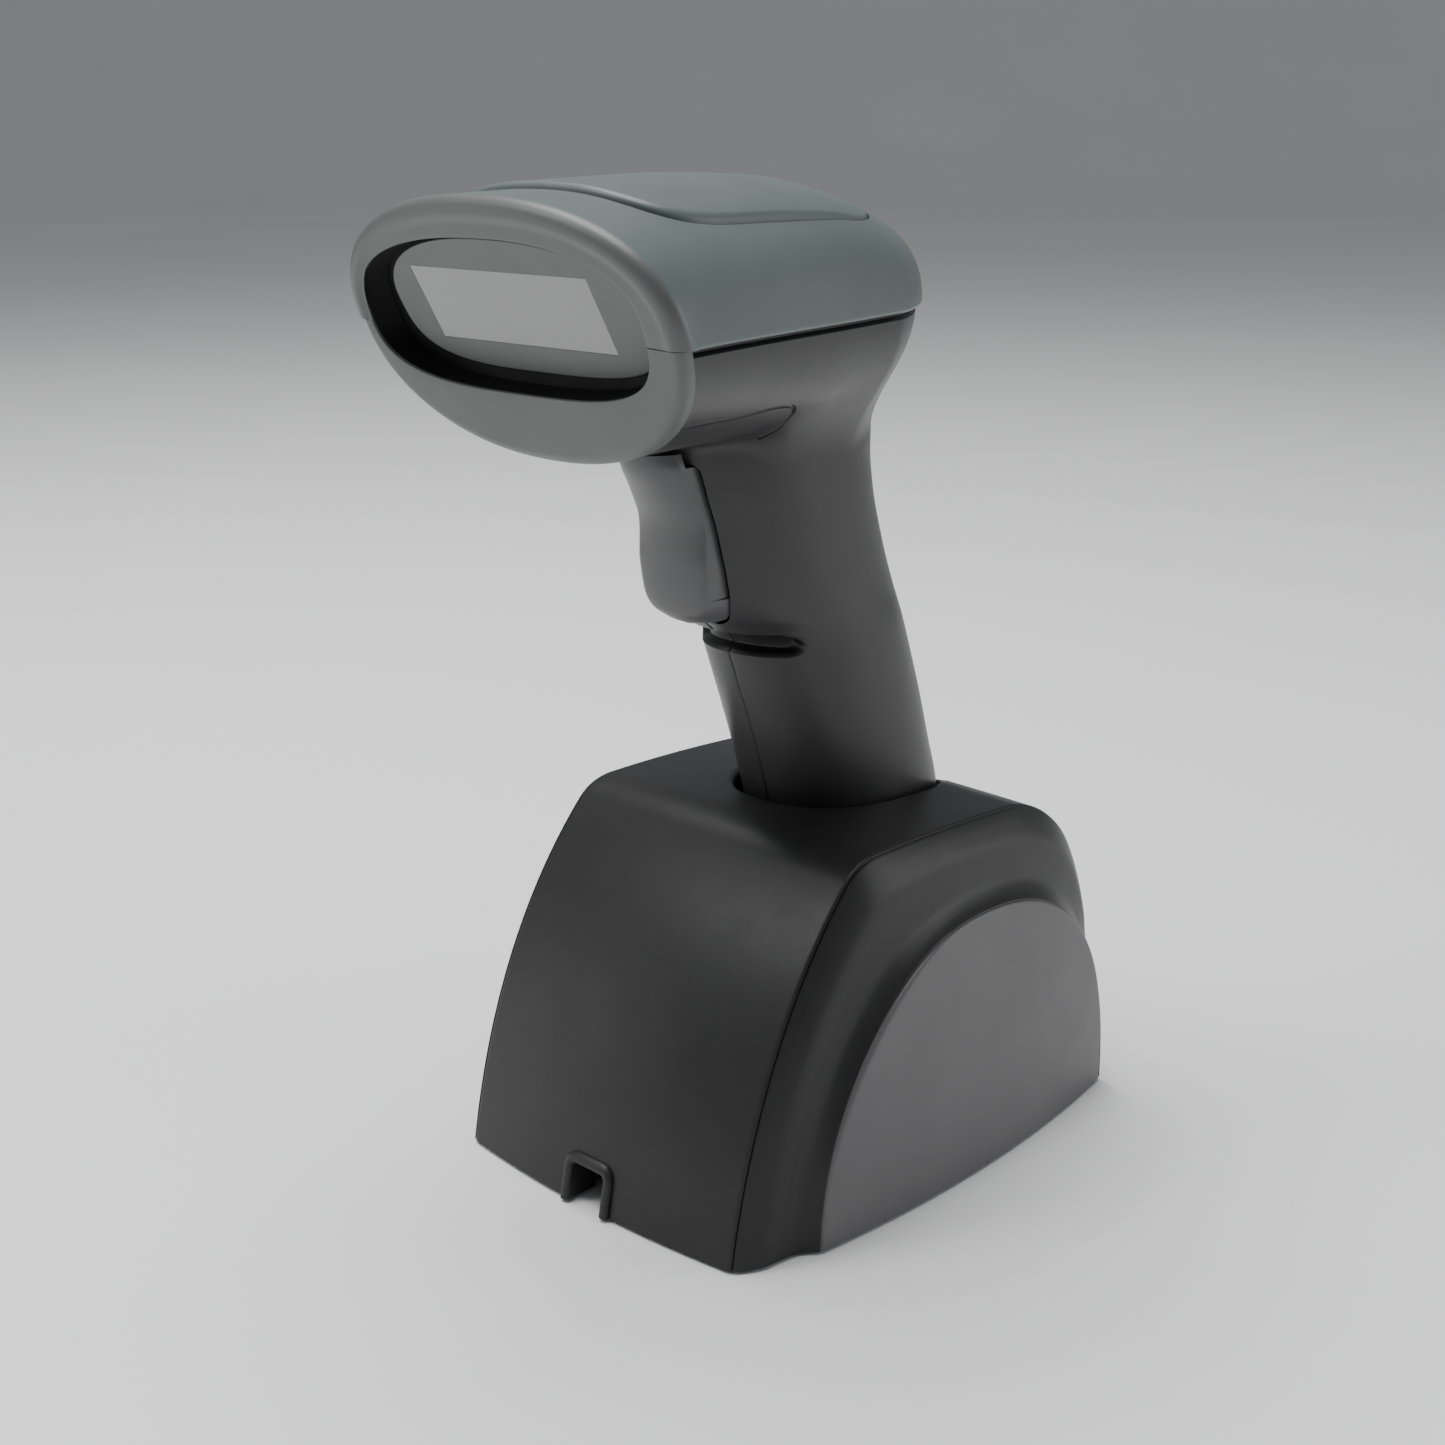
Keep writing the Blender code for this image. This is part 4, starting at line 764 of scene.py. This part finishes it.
def notch_frame():
    """Raised rounded rim that lines the cable notch."""
    outer = notch_outline(0.9)
    inner = notch_outline(-0.85)
    rings = []
    for (xo, zo), (xi, zi) in zip(outer, inner):
        zo = max(zo, FOOT_LIFT)
        zi = max(zi, FOOT_LIFT)
        section = []
        for share, y in ((0.0, -0.1), (0.0, -0.5), (0.12, -0.8), (0.35, -0.95), (0.65, -0.95), (0.88, -0.8),
                         (1.0, -0.5), (1.0, 5.5), (0.52, 5.5), (0.52, -0.1)):
            x = xo + (xi - xo) * share
            z = zo + (zi - zo) * share
            section.append((x, front_depth(z) - cradle_bow(front_depth(z), x) + y, z))
        rings.append(section)
    return loft("cable_notch_rim", rings)


def front_depth(z):
    """Depth of the cradle's front at a height."""
    keep = OUTLINE[:, 0] < 27.0
    return float(np.interp(z, OUTLINE[keep, 1], OUTLINE[keep, 0]))


def disc_radius(angle, grow=0.0):
    """Radius of the side panel's outline about (DISC_CENTRE, FOOT_LIFT)."""
    c = math.cos(angle)
    s = max(math.sin(angle), 0.0)
    half = DISC_HALF_REAR if c > 0 else DISC_HALF_FRONT
    power = DISC_ROUNDNESS_REAR if c > 0 else DISC_ROUNDNESS_FRONT
    return (abs(c / half) ** power + (s / DISC_HEIGHT) ** power) ** (-1 / power) + grow


def flank_ring(y, z, side):
    """One closed cut through a flank: out from the seam, down the channel, up to the panel's rim."""
    angle = math.atan2(z - FOOT_LIFT, y - DISC_CENTRE)
    radius = math.hypot(z - FOOT_LIFT, y - DISC_CENTRE)
    rim = disc_radius(angle, RIM_GAP)
    radius = max(radius, rim + 0.4)
    near = (0.0, 0.004, 0.012, 0.025, 0.045, 0.08)
    shares = np.concatenate([near, np.linspace(0.12, 0.97, 30), (0.985, 1.0)])
    out = curve(FLANK_CURVE, shares)
    path = []
    for share, x in zip(shares, out):
        r = radius + (rim - radius) * share
        r -= edge_roll(x + (radius - r) * 0.5)
        path.append((SEAM_X + SEAM_GAP + x, r))
    top = SEAM_X + SEAM_GAP + out[-1]
    path += [(top + 0.06, rim - 0.25), (top - 0.2, rim - 0.5)]
    path += [(top - 2.6, rim - 0.6), (top - 2.8, rim - WALL)]
    for share in (0.8, 0.5, 0.2, 0.05):
        path.append((SEAM_X + SEAM_GAP + float(curve(FLANK_CURVE, share)) - 1.4 * share,
                     radius + (rim - radius) * share - WALL * (0.6 + 0.4 * (1 - share))))
    path.append((SEAM_X + SEAM_GAP, radius - WALL))
    return [(side * x, DISC_CENTRE + r * math.cos(angle), FOOT_LIFT + r * math.sin(angle)) for x, r in path]


def flank(name, side):
    return loft(name, [flank_ring(y, z, side) for y, z in OUTLINE])


def disc_point(angle, share, side, sink, drop=0.0):
    """A point of the domed side panel; share runs from its middle (0) to its rim (1)."""
    r = disc_radius(angle, -RIM_GAP) * share - drop
    y = r * math.cos(angle)
    z = r * math.sin(angle)
    half = DISC_HALF_REAR if y > 0 else DISC_HALF_FRONT
    swell = DISC_BULGE * max(0.0, 1 - (y / half) ** 2) * max(0.0, 1 - (z / DISC_HEIGHT) ** 2)
    return (side * (DISC_X + 0.1 + swell - sink), DISC_CENTRE + y, FOOT_LIFT + z)


def side_panel(name, side):
    """Domed half-round panel with a rolled rim."""
    steps = 120
    rings = []
    for i in range(steps + 1):
        angle = math.pi * i / steps
        ring = [disc_point(angle, share, side, 0.0) for share in np.linspace(0.01, 0.96, 22)]
        for sink, drop in round_edge(DISC_EDGE, 6):
            ring.append(disc_point(angle, 1.0, side, sink, drop))
        ring.append(disc_point(angle, 1.0, side, 2.2))
        ring.append(disc_point(angle, 0.8, side, 2.3))
        ring.append(disc_point(angle, 0.01, side, 2.2))
        rings.append(ring)
    return loft(name, rings)


def build_cradle():
    finish_piece(centre_shell(), "cradle", CRADLE, "cradle_shell", "cradle_centre_shell")
    finish_piece(notch_frame(), "cradle", CRADLE, "cradle_shell", "cable_notch_frame")
    for name, side in (("left", -1), ("right", 1)):
        finish_piece(flank(f"flank_{name}", side), "cradle", CRADLE, "cradle_shell", f"cradle_flank_{name}")
        panel = side_panel(f"panel_{name}", side)
        finish_piece(panel, "cradle", SIDE_PANEL, "side_panel", f"cradle_side_panel_{name}")


# ------------------------------ body shells

def body_levels():
    """Heights of the body's rows below the head's side: close together where the form is busy."""
    spans = ((24.0, 85.5, 2.0), (86.0, 92.0, 0.2), (92.3, 96.5, 0.4), (97.0, 113.0, 1.0), (113.0, 119.5, 0.5),
             (119.6, 125.0, 0.15), (125.1, 128.0, 0.3))
    return np.concatenate([np.arange(*span) for span in spans])


def body_angles():
    """Angles from the front (-90) to the rear (90), close together at the parting line."""
    edge = np.array([0.0, 0.25, 0.55, 0.95, 1.5])
    return np.radians(np.concatenate([-90 + edge, np.linspace(-87.5, 87.5, 118), (90 - edge)[::-1]]))


def groove(x, y, z, middle):
    """Depth of the pill-shaped finger groove across the handle's front."""
    reach = np.maximum(abs(x) - (GROOVE_HALF_X - GROOVE_HALF_Z), 0.0)
    outside = np.hypot(reach, z - GROOVE_Z) - GROOVE_HALF_Z
    return np.where(y < middle, GROOVE_DEPTH * smooth_step(-outside / GROOVE_BLEND), 0.0)


def body_surface():
    """Rows of points on the right half's outside, from the handle's lower end to the head's seam."""
    angles = body_angles()
    levels = body_levels()
    rows = []
    for level in levels:
        z = np.full_like(angles, level)
        middle = handle_middle(z)
        r = body_radius(angles, z, middle)
        rows.append(np.column_stack([r * np.cos(angles), middle + r * np.sin(angles), z]))
    start = rows[-1][:, 2]
    for share in np.linspace(0.05, 1.0, 26):
        z = start + 0.3
        for _ in range(6):
            middle = handle_middle(z)
            r = body_radius(angles, z, middle)
            z = start + (seam_z(middle + r * np.sin(angles)) - 0.12 - start) * share
        rows.append(np.column_stack([r * np.cos(angles), middle + r * np.sin(angles), z]))
    return np.array(rows)


def grid_normals(grid):
    across = np.gradient(grid, axis=1)
    along = np.gradient(grid, axis=0)
    normal = np.cross(across, along)
    return normal / np.maximum(np.linalg.norm(normal, axis=2)[:, :, None], 1e-9)


def body_half(name, side):
    outer = body_surface()
    normal = grid_normals(outer)
    if normal[5, 60, 0] < 0:
        normal = -normal
    x, y, z = outer[:, :, 0], outer[:, :, 1], outer[:, :, 2]
    sink = groove(x, y, z, handle_middle(z))
    sink = sink + PARTING_DEPTH * np.clip(1 - x / PARTING_HALF, 0.0, 1.0) ** 2
    under_seam = seam_z(y) - z
    sink = sink + UNDERCUT * smooth_step((1.0 - under_seam) / 0.3)
    skin = outer - normal * sink[:, :, None]
    inner = outer - normal * WALL
    inner[0, :, 2] = outer[0, :, 2]
    inner[-1, :, 2] = outer[-1, :, 2]
    skin[-1, :, 2] = outer[-1, :, 2]
    skin[:, :, 0] = np.maximum(skin[:, :, 0], 0.03)
    inner[:, :, 0] = np.maximum(inner[:, :, 0], 0.03)
    rings = []
    for row, back in zip(skin, inner):
        ring = [(side * p[0], p[1], p[2]) for p in row]
        rings.append(ring + [(side * p[0], p[1], p[2]) for p in back[::-1]])
    half = loft(name, rings, strip=True)
    return cut(half, [face_cutter(), slot_cutter(), hold_line(side), strap_hole(side)])


def face_cutter():
    """Everything in front of the bezel's back."""
    tilt = Matrix.Rotation(FACE_TILT, 4, "X")
    centre = Vector((0.0, FACE_Y, FACE_Z)) + tilt @ Vector((0.0, BEZEL_DEPTH + 0.02 - 30.0, 0.0))
    return block("face_cutter", centre, (120.0, 60.0, 120.0), tilt)


def slot_half(z):
    """Half width of the trigger's outline at a height."""
    return float(curve(TRIGGER_SHAPE, z, 2))


def slot_cutter():
    """The slot that the trigger swings in: its outline follows the trigger's, with round upper corners."""
    heights = np.concatenate([[93.5, 93.8, 94.3, 95.0, 96.0, 97.5], np.arange(99.0, 118.3, 1.2)])
    side = [(slot_half(z) + SLOT_GAP, z - SLOT_GAP * float(smooth_step((97.0 - z) / 3.5))) for z in heights]
    corner = 1.6
    half = side[-1][0]
    for turn in np.linspace(0.2, math.pi / 2, 6):
        side.append((half - corner * (1 - math.cos(turn)), SLOT_HIGH_Z - corner * (1 - math.sin(turn))))
    outline = side + [(-x, z) for x, z in reversed(side)]
    return loft("slot_cutter", [[(x, y, z) for x, z in outline] for y in (-6.0, 34.0)])


def underside_z(x, y):
    """Height of the body's underside at points in plan, outside the handle."""
    low = np.full_like(x, 112.0)
    high = seam_z(y)
    for _ in range(24):
        z = (low + high) / 2
        middle = handle_middle(z)
        inside = np.hypot(x, y - middle) <= body_radius(np.arctan2(y - middle, x), z, middle)
        high = np.where(inside, z, high)
        low = np.where(inside, low, z)
    return (low + high) / 2


def hold_line(side):
    """Fine groove that outlines the thumb rest on the head's underside."""
    t = np.linspace(0.0, 1.0, 60)
    x = curve(HOLD_LINE, t)
    y = curve(HOLD_LINE, t, 2)
    path = np.column_stack([side * x, y, underside_z(x, y)])
    rings = []
    for i, point in enumerate(path):
        ahead = Vector(path[min(i + 1, len(path) - 1)] - path[max(i - 1, 0)]).normalized()
        out = ahead.cross(Vector((0.0, 0.0, 1.0))).normalized()
        up = out.cross(ahead)
        ring = []
        for k in range(12):
            a = 2 * math.pi * k / 12
            ring.append(tuple(Vector(point) + (out * math.cos(a) + up * math.sin(a)) * HOLD_LINE_RADIUS))
        rings.append(ring)
    return loft("hold_line", rings)


def strap_hole(side):
    """Small round hole at the thumb rest, through the head's underside."""
    z = float(underside_z(np.array([14.2]), np.array([19.9]))[0])
    return rod("strap_hole", (side * 13.6, 19.9, z + 1.6), (side * 14.8, 19.9, z - 1.6), 0.5)


def build_body():
    for name, side in (("left", -1), ("right", 1)):
        half = body_half(f"body_{name}", side)
        finish_piece(half, "scanner", BODY, "body_shell", f"body_shell_{name}")


# ------------------------------ cover, panel and face

def fine_angles():
    """Angles over half a turn, close together at both ends."""
    edge = np.array([0.0, 0.25, 0.6, 1.1, 1.8, 2.8, 4.2])
    return np.radians(np.concatenate([edge, np.linspace(6.0, 174.0, 106), (180 - edge)[::-1]]))


def cover_stations():
    rear = [75.0, 74.9, 74.7, 74.35, 73.9, 73.3, 72.5, 71.5, 70.2, 68.8, 67.2, 65.4, 63.4, 61.2]
    return rear + list(np.linspace(59.0, -9.0, 46))


def cover_row(angle):
    """One cut through the cover: from its tail along the outside, round the rim, and back inside."""
    path = []
    for y in cover_stations():
        x, z = squircle(angle, head_half_width(y), head_up(y), UPPER_ROUNDNESS)
        roll = edge_roll(float(z), 0.5)
        x = math.copysign(max(abs(x) - roll, 0.0), x)
        path.append((float(x), y, float(seam_z(y) + z)))
    for inset, depth in round_edge(FACE_EDGE, 10):
        path.append(rim_point(angle, inset, depth, False))
    for share in (0.15, 0.35, 0.65, 0.85, 1.0):
        path.append(rim_point(angle, FACE_EDGE + 1.3 * share, FACE_SINK * float(smooth_step(share)), False))
    path += face_edge(angle, path[-1])
    path.append(rim_point(angle, WALL, BEZEL_DEPTH, False))
    inner_end = HEAD_REAR - TAIL_SHARE * WALL
    for y in (-9.0, 10.0, 30.0, 45.0, 55.0, 62.0, 67.0, 70.0, inner_end):
        x, z = squircle(angle, head_half_width(y, WALL), head_up(y, WALL), UPPER_ROUNDNESS)
        path.append((float(x), y, float(seam_z(y) + z)))
    return path


def face_edge(angle, rim):
    """From the face's outer part to the opening, round its small edge and back into it."""
    edge = 0.1
    mouth = opening_point(angle, -edge, 0.0)
    path = [tuple(rim[k] + (mouth[k] - rim[k]) * share for k in range(3)) for share in (0.33, 0.67)]
    for depth, inset in round_edge(edge, 4):
        path.append(opening_point(angle, -inset, depth))
    path.append(opening_point(angle, 0.0, BEZEL_DEPTH - FACE_SINK))
    return path


def top_cover():
    cover = loft("cover", [cover_row(angle) for angle in fine_angles()], wrap=False)
    rings = [panel_outline(PANEL_GAP, height) for height in (8.0, -0.8)]
    return cut(cover, [loft("panel_pocket", rings)])


def panel_outline(grow, height):
    """The top panel's outline at a height over the cover's crown."""
    ring = []
    for i in range(160):
        turn = 2 * math.pi * i / 160
        wide = grow * (1 - 0.6 * float(smooth_step((math.sin(turn) + 0.6) / 1.2)))
        x, y = squircle(turn, 1.0, PANEL_HALF_LENGTH + wide, PANEL_ROUNDNESS)
        y += PANEL_MIDDLE
        x *= PANEL_HALF_X - PANEL_TAPER * (y - PANEL_MIDDLE + PANEL_HALF_LENGTH) + wide
        ring.append((float(x), float(y), float(crown_z(x, y)) + height))
    return ring


def panel_height(y):
    """The panel stands proud at its front and runs level with the cover at its rear."""
    return PANEL_PROUD - PANEL_FALL * float(smooth_step((y - 18.0) / 30.0))


def top_panel():
    rings = []
    for share in (0.03, 0.12, 0.25, 0.4, 0.55, 0.7, 0.82, 0.92):
        ring = []
        for x, y, _ in panel_outline(-PANEL_EDGE, 0.0):
            px = x * share
            py = PANEL_MIDDLE + (y - PANEL_MIDDLE) * share
            ring.append((px, py, float(crown_z(px, py)) + panel_height(py)))
        rings.append(ring)
    for drop, inset in round_edge(PANEL_EDGE, 8):
        outline = panel_outline(-inset, 0.0)
        rings.append([(x, y, z + panel_height(y) - drop) for x, y, z in outline])
    rings.append(panel_outline(0.0, -0.75))
    return loft("panel", rings)


def bezel_row(angle):
    path = [rim_point(angle, 0.0, BEZEL_DEPTH, True)]
    for inset, depth in round_edge(BEZEL_EDGE, 12):
        path.append(rim_point(angle, inset, FACE_SINK + depth, True))
    return path + face_edge(angle, path[-1])


def front_bezel():
    rows = [[(x, y, z - 0.14) for x, y, z in bezel_row(-angle)] for angle in fine_angles()]
    return loft("bezel", rows)


def window_frame():
    """Black liner of the opening: its front follows the opening, its back holds the plate."""
    rings = []
    for i in range(180):
        angle = 2 * math.pi * i / 180
        front = Vector(opening_point(angle, 0.03, 0.35))
        back = Vector(plate_point(angle, -0.03, 0.35))
        floor = Vector((front.x, front.y, front.z)).lerp(back, 0.35)
        floor += Vector((0.0, 2.6, 0.0)) * min((back - front).length / 6.0, 1.0)
        ring = [front, front.lerp(floor, 0.5), floor, floor.lerp(back, 0.5), back]
        x, z = opening_outline(angle, 0.03, 0.03, 0.03)
        ring += [Vector(plate_point(angle, -0.03, 2.4)), Vector(plate_point(angle, 1.4, 2.4)),
                 Vector(plate_point(angle, 1.4, 4.4)), Vector(on_face(x, z, plate_depth(z) + 3.6))]
        rings.append([tuple(point) for point in ring])
    return loft("frame_liner", rings, close=True)


def window_block(name, grow, front, back):
    """A block with the scan window's outline, between two planes parallel to the window plate."""
    corners = ((-1, WINDOW_LOW_Z - grow), (1, WINDOW_LOW_Z - grow), (1, WINDOW_HIGH_Z + grow),
               (-1, WINDOW_HIGH_Z + grow))
    rings = []
    for behind, shrink in ((front, 0.05), (front + 0.05, 0.0), (back, 0.0)):
        ring = []
        for side, z in corners:
            z += shrink if z < OPENING_Z else -shrink
            ring.append(on_face(side * (WINDOW_HALF_X + grow - shrink), z, plate_depth(z) + behind))
        rings.append(ring)
    return loft(name, rings)


def window_plate():
    rings = []
    for inset, behind in ((0.1, 0.0), (0.0, 0.1), (0.0, 1.8)):
        rings.append([plate_point(2 * math.pi * i / 180, inset, behind) for i in range(180)])
    plate = loft("plate", rings)
    return cut(plate, [window_block("window_hole", 0.025, -3.0, 6.0)])


def build_head():
    finish_piece(top_cover(), "scanner", COVER, "cover_green", "top_cover")
    finish_piece(top_panel(), "scanner", COVER, "top_panel", "top_panel")
    finish_piece(front_bezel(), "scanner", FACE, "face_grey", "front_bezel")
    finish_piece(window_frame(), "scanner", BLACK, "recess_black", "window_frame")
    finish_piece(window_plate(), "scanner", FACE, "face_grey", "window_plate")
    pane = window_block("window_pane", 0.0, 0.0, 1.4)
    finish_piece(pane, "scanner", WINDOW, "window_frosted", "scan_window")


# ------------------------------ trigger

def handle_surface(x, z):
    """Depth of the handle's front at a place across and a height."""
    front = float(curve(HANDLE_FRONT, z))
    rear = float(curve(HANDLE_REAR, z))
    share = abs(x) / float(curve(HANDLE_HALF, z))
    half = (rear - front) / 2
    return front + half * (1 - (1 - share**HANDLE_ROUNDNESS) ** (1 / HANDLE_ROUNDNESS))


def trigger_ring(z):
    """One level of the trigger: a crowned front with crisp shoulders, its sides, and its stem."""
    middle = float(curve(TRIGGER_SHAPE, z))
    base = slot_half(z)
    shoulder = base - 0.45 - 0.9 * float(smooth_step((97.2 - z) / 3.0))
    shoulder = max(shoulder, base * 0.45)
    surface = handle_surface(base, z)
    crown = min(1.1 + 0.16 * max(z - 104.0, 0.0), surface - middle - 0.15)
    ledge = float(smooth_step((LEDGE_Z - z) / 0.3))
    edge = middle + crown
    ring = []
    for share in np.linspace(1.0, -1.0, 33):
        roll = 0.35 * max(0.0, abs(share) - 0.9) / 0.1
        ring.append((float(shoulder * share), middle + crown * abs(share) ** 2.2 + roll * 0.6, z))
    back = min(max(surface + 0.7, edge + 0.3), TRIGGER_BACK - 0.5)
    if z > TRIGGER_TOP:
        back = TRIGGER_CAP_BACK
    outer = shoulder + 0.12 + (base - shoulder - 0.12) * ledge
    skirt = edge + (min(surface, back) - 0.5 - edge) * ledge
    left = [(-shoulder - 0.1, edge + 0.3, z), (-outer, max(skirt, edge + 0.35), z), (-outer, back, z)]
    stem = max(base - 1.1, base * 0.6)
    rear = TRIGGER_BACK if z < TRIGGER_TOP else back + 0.1
    ring += left + [(-stem, back + 0.05, z), (-stem, rear, z)]
    ring += [(stem, rear, z), (stem, back + 0.05, z)]
    return ring + [(-x, y, height) for x, y, height in reversed(left)]


def trigger_levels():
    low = 93.5 + 0.9 * (1 - np.cos(np.linspace(0, math.pi / 2, 9)))
    ledge = np.arange(LEDGE_Z - 0.36, LEDGE_Z + 0.1, 0.06)
    below = np.arange(94.6, LEDGE_Z - 0.4, 0.2)
    above = np.arange(98.8, 118.3, 0.6)
    shoulder = np.arange(118.4, 119.3, 0.3)
    cap = np.arange(119.6, 121.5, 0.3)
    return np.concatenate([low, below, ledge, above, shoulder, [TRIGGER_TOP, TRIGGER_TOP + 0.03], cap])


def build_trigger():
    tongue = loft("finger_trigger", [trigger_ring(float(z)) for z in trigger_levels()])
    finish_piece(tongue, "trigger", TRIGGER, "trigger", "trigger")


# ------------------------------ camera, light and floor

def add_camera():
    made = bpy.data.objects.new("camera", bpy.data.cameras.new("camera"))
    bpy.context.scene.collection.objects.link(made)
    flat = math.cos(CAMERA_ELEVATION)
    right = math.sin(CAMERA_AZIMUTH) * flat
    front = -math.cos(CAMERA_AZIMUTH) * flat
    back = Vector((right, front, math.sin(CAMERA_ELEVATION)))
    made.location = CAMERA_AT
    made.rotation_euler = (-back).to_track_quat("-Z", "Y").to_euler()
    made.data.sensor_width = 36.0
    made.data.lens = CAMERA_LENS
    made.data.clip_start = 0.01
    bpy.context.scene.camera = made


def add_light(name, at, target, size, power):
    data = bpy.data.lights.new(name, "AREA")
    data.shape = "RECTANGLE"
    data.size, data.size_y = size
    data.energy = power
    made = bpy.data.objects.new(name, data)
    made.location = at
    made.rotation_euler = (Vector(target) - Vector(at)).to_track_quat("-Z", "Y").to_euler()
    bpy.context.scene.collection.objects.link(made)


def add_lights():
    add_light("top_softbox", (-0.2, -0.05, 1.0), (0.0, 0.0, 0.1), (0.7, 0.7), 14.0)
    add_light("front_softbox", (-0.55, -0.75, 0.85), (0.0, 0.0, 0.13), (0.4, 0.3), 3.2)
    add_light("right_softbox", (0.85, 0.75, 0.3), (0.0, 0.0, 0.08), (0.5, 0.7), 3.5)
    add_light("left_softbox", (-0.75, -0.7, 0.2), (0.0, 0.0, 0.08), (0.3, 0.4), 0.8)
    world = bpy.data.worlds.new("studio")
    world.use_nodes = True
    world.node_tree.nodes["Background"].inputs["Color"].default_value = (0.9, 0.92, 0.95, 1.0)
    world.node_tree.nodes["Background"].inputs["Strength"].default_value = 0.26
    bpy.context.scene.world = world


def add_floor():
    """A pale table that sweeps up all round, far from the object."""
    flat = 4.0
    sweep = 0.8
    profile = [(r, 0.0) for r in (0.5, 1.2, 2.5, flat)]
    profile += [(flat + sweep * math.sin(t), sweep - sweep * math.cos(t)) for t in np.linspace(0.15, 1.2, 8)]
    bm = bmesh.new()
    steps = 64
    rows = [[bm.verts.new((r * math.cos(2 * math.pi * k / steps), r * math.sin(2 * math.pi * k / steps), z))
             for k in range(steps)] for r, z in profile]
    centre = bm.verts.new((0.0, 0.0, 0.0))
    for k in range(steps):
        after = (k + 1) % steps
        bm.faces.new((centre, rows[0][k], rows[0][after]))
        for low, high in zip(rows, rows[1:]):
            bm.faces.new((low[k], high[k], high[after], low[after]))
    mesh = bpy.data.meshes.new("floor")
    bm.to_mesh(mesh)
    bm.free()
    mesh.shade_smooth()
    floor = bpy.data.objects.new("floor", mesh)
    bpy.context.scene.collection.objects.link(floor)
    n = Nodes("pale_floor")
    n.colour(n.noise(3.0, 3.0), (0.84, 0.84, 0.845), (0.87, 0.87, 0.87))
    n.set("Roughness", 0.8)
    mesh.materials.append(n.material)


add_camera()
add_lights()
add_floor()
dress_cad_nodes()
build_cradle()
build_body()
build_head()
build_trigger()
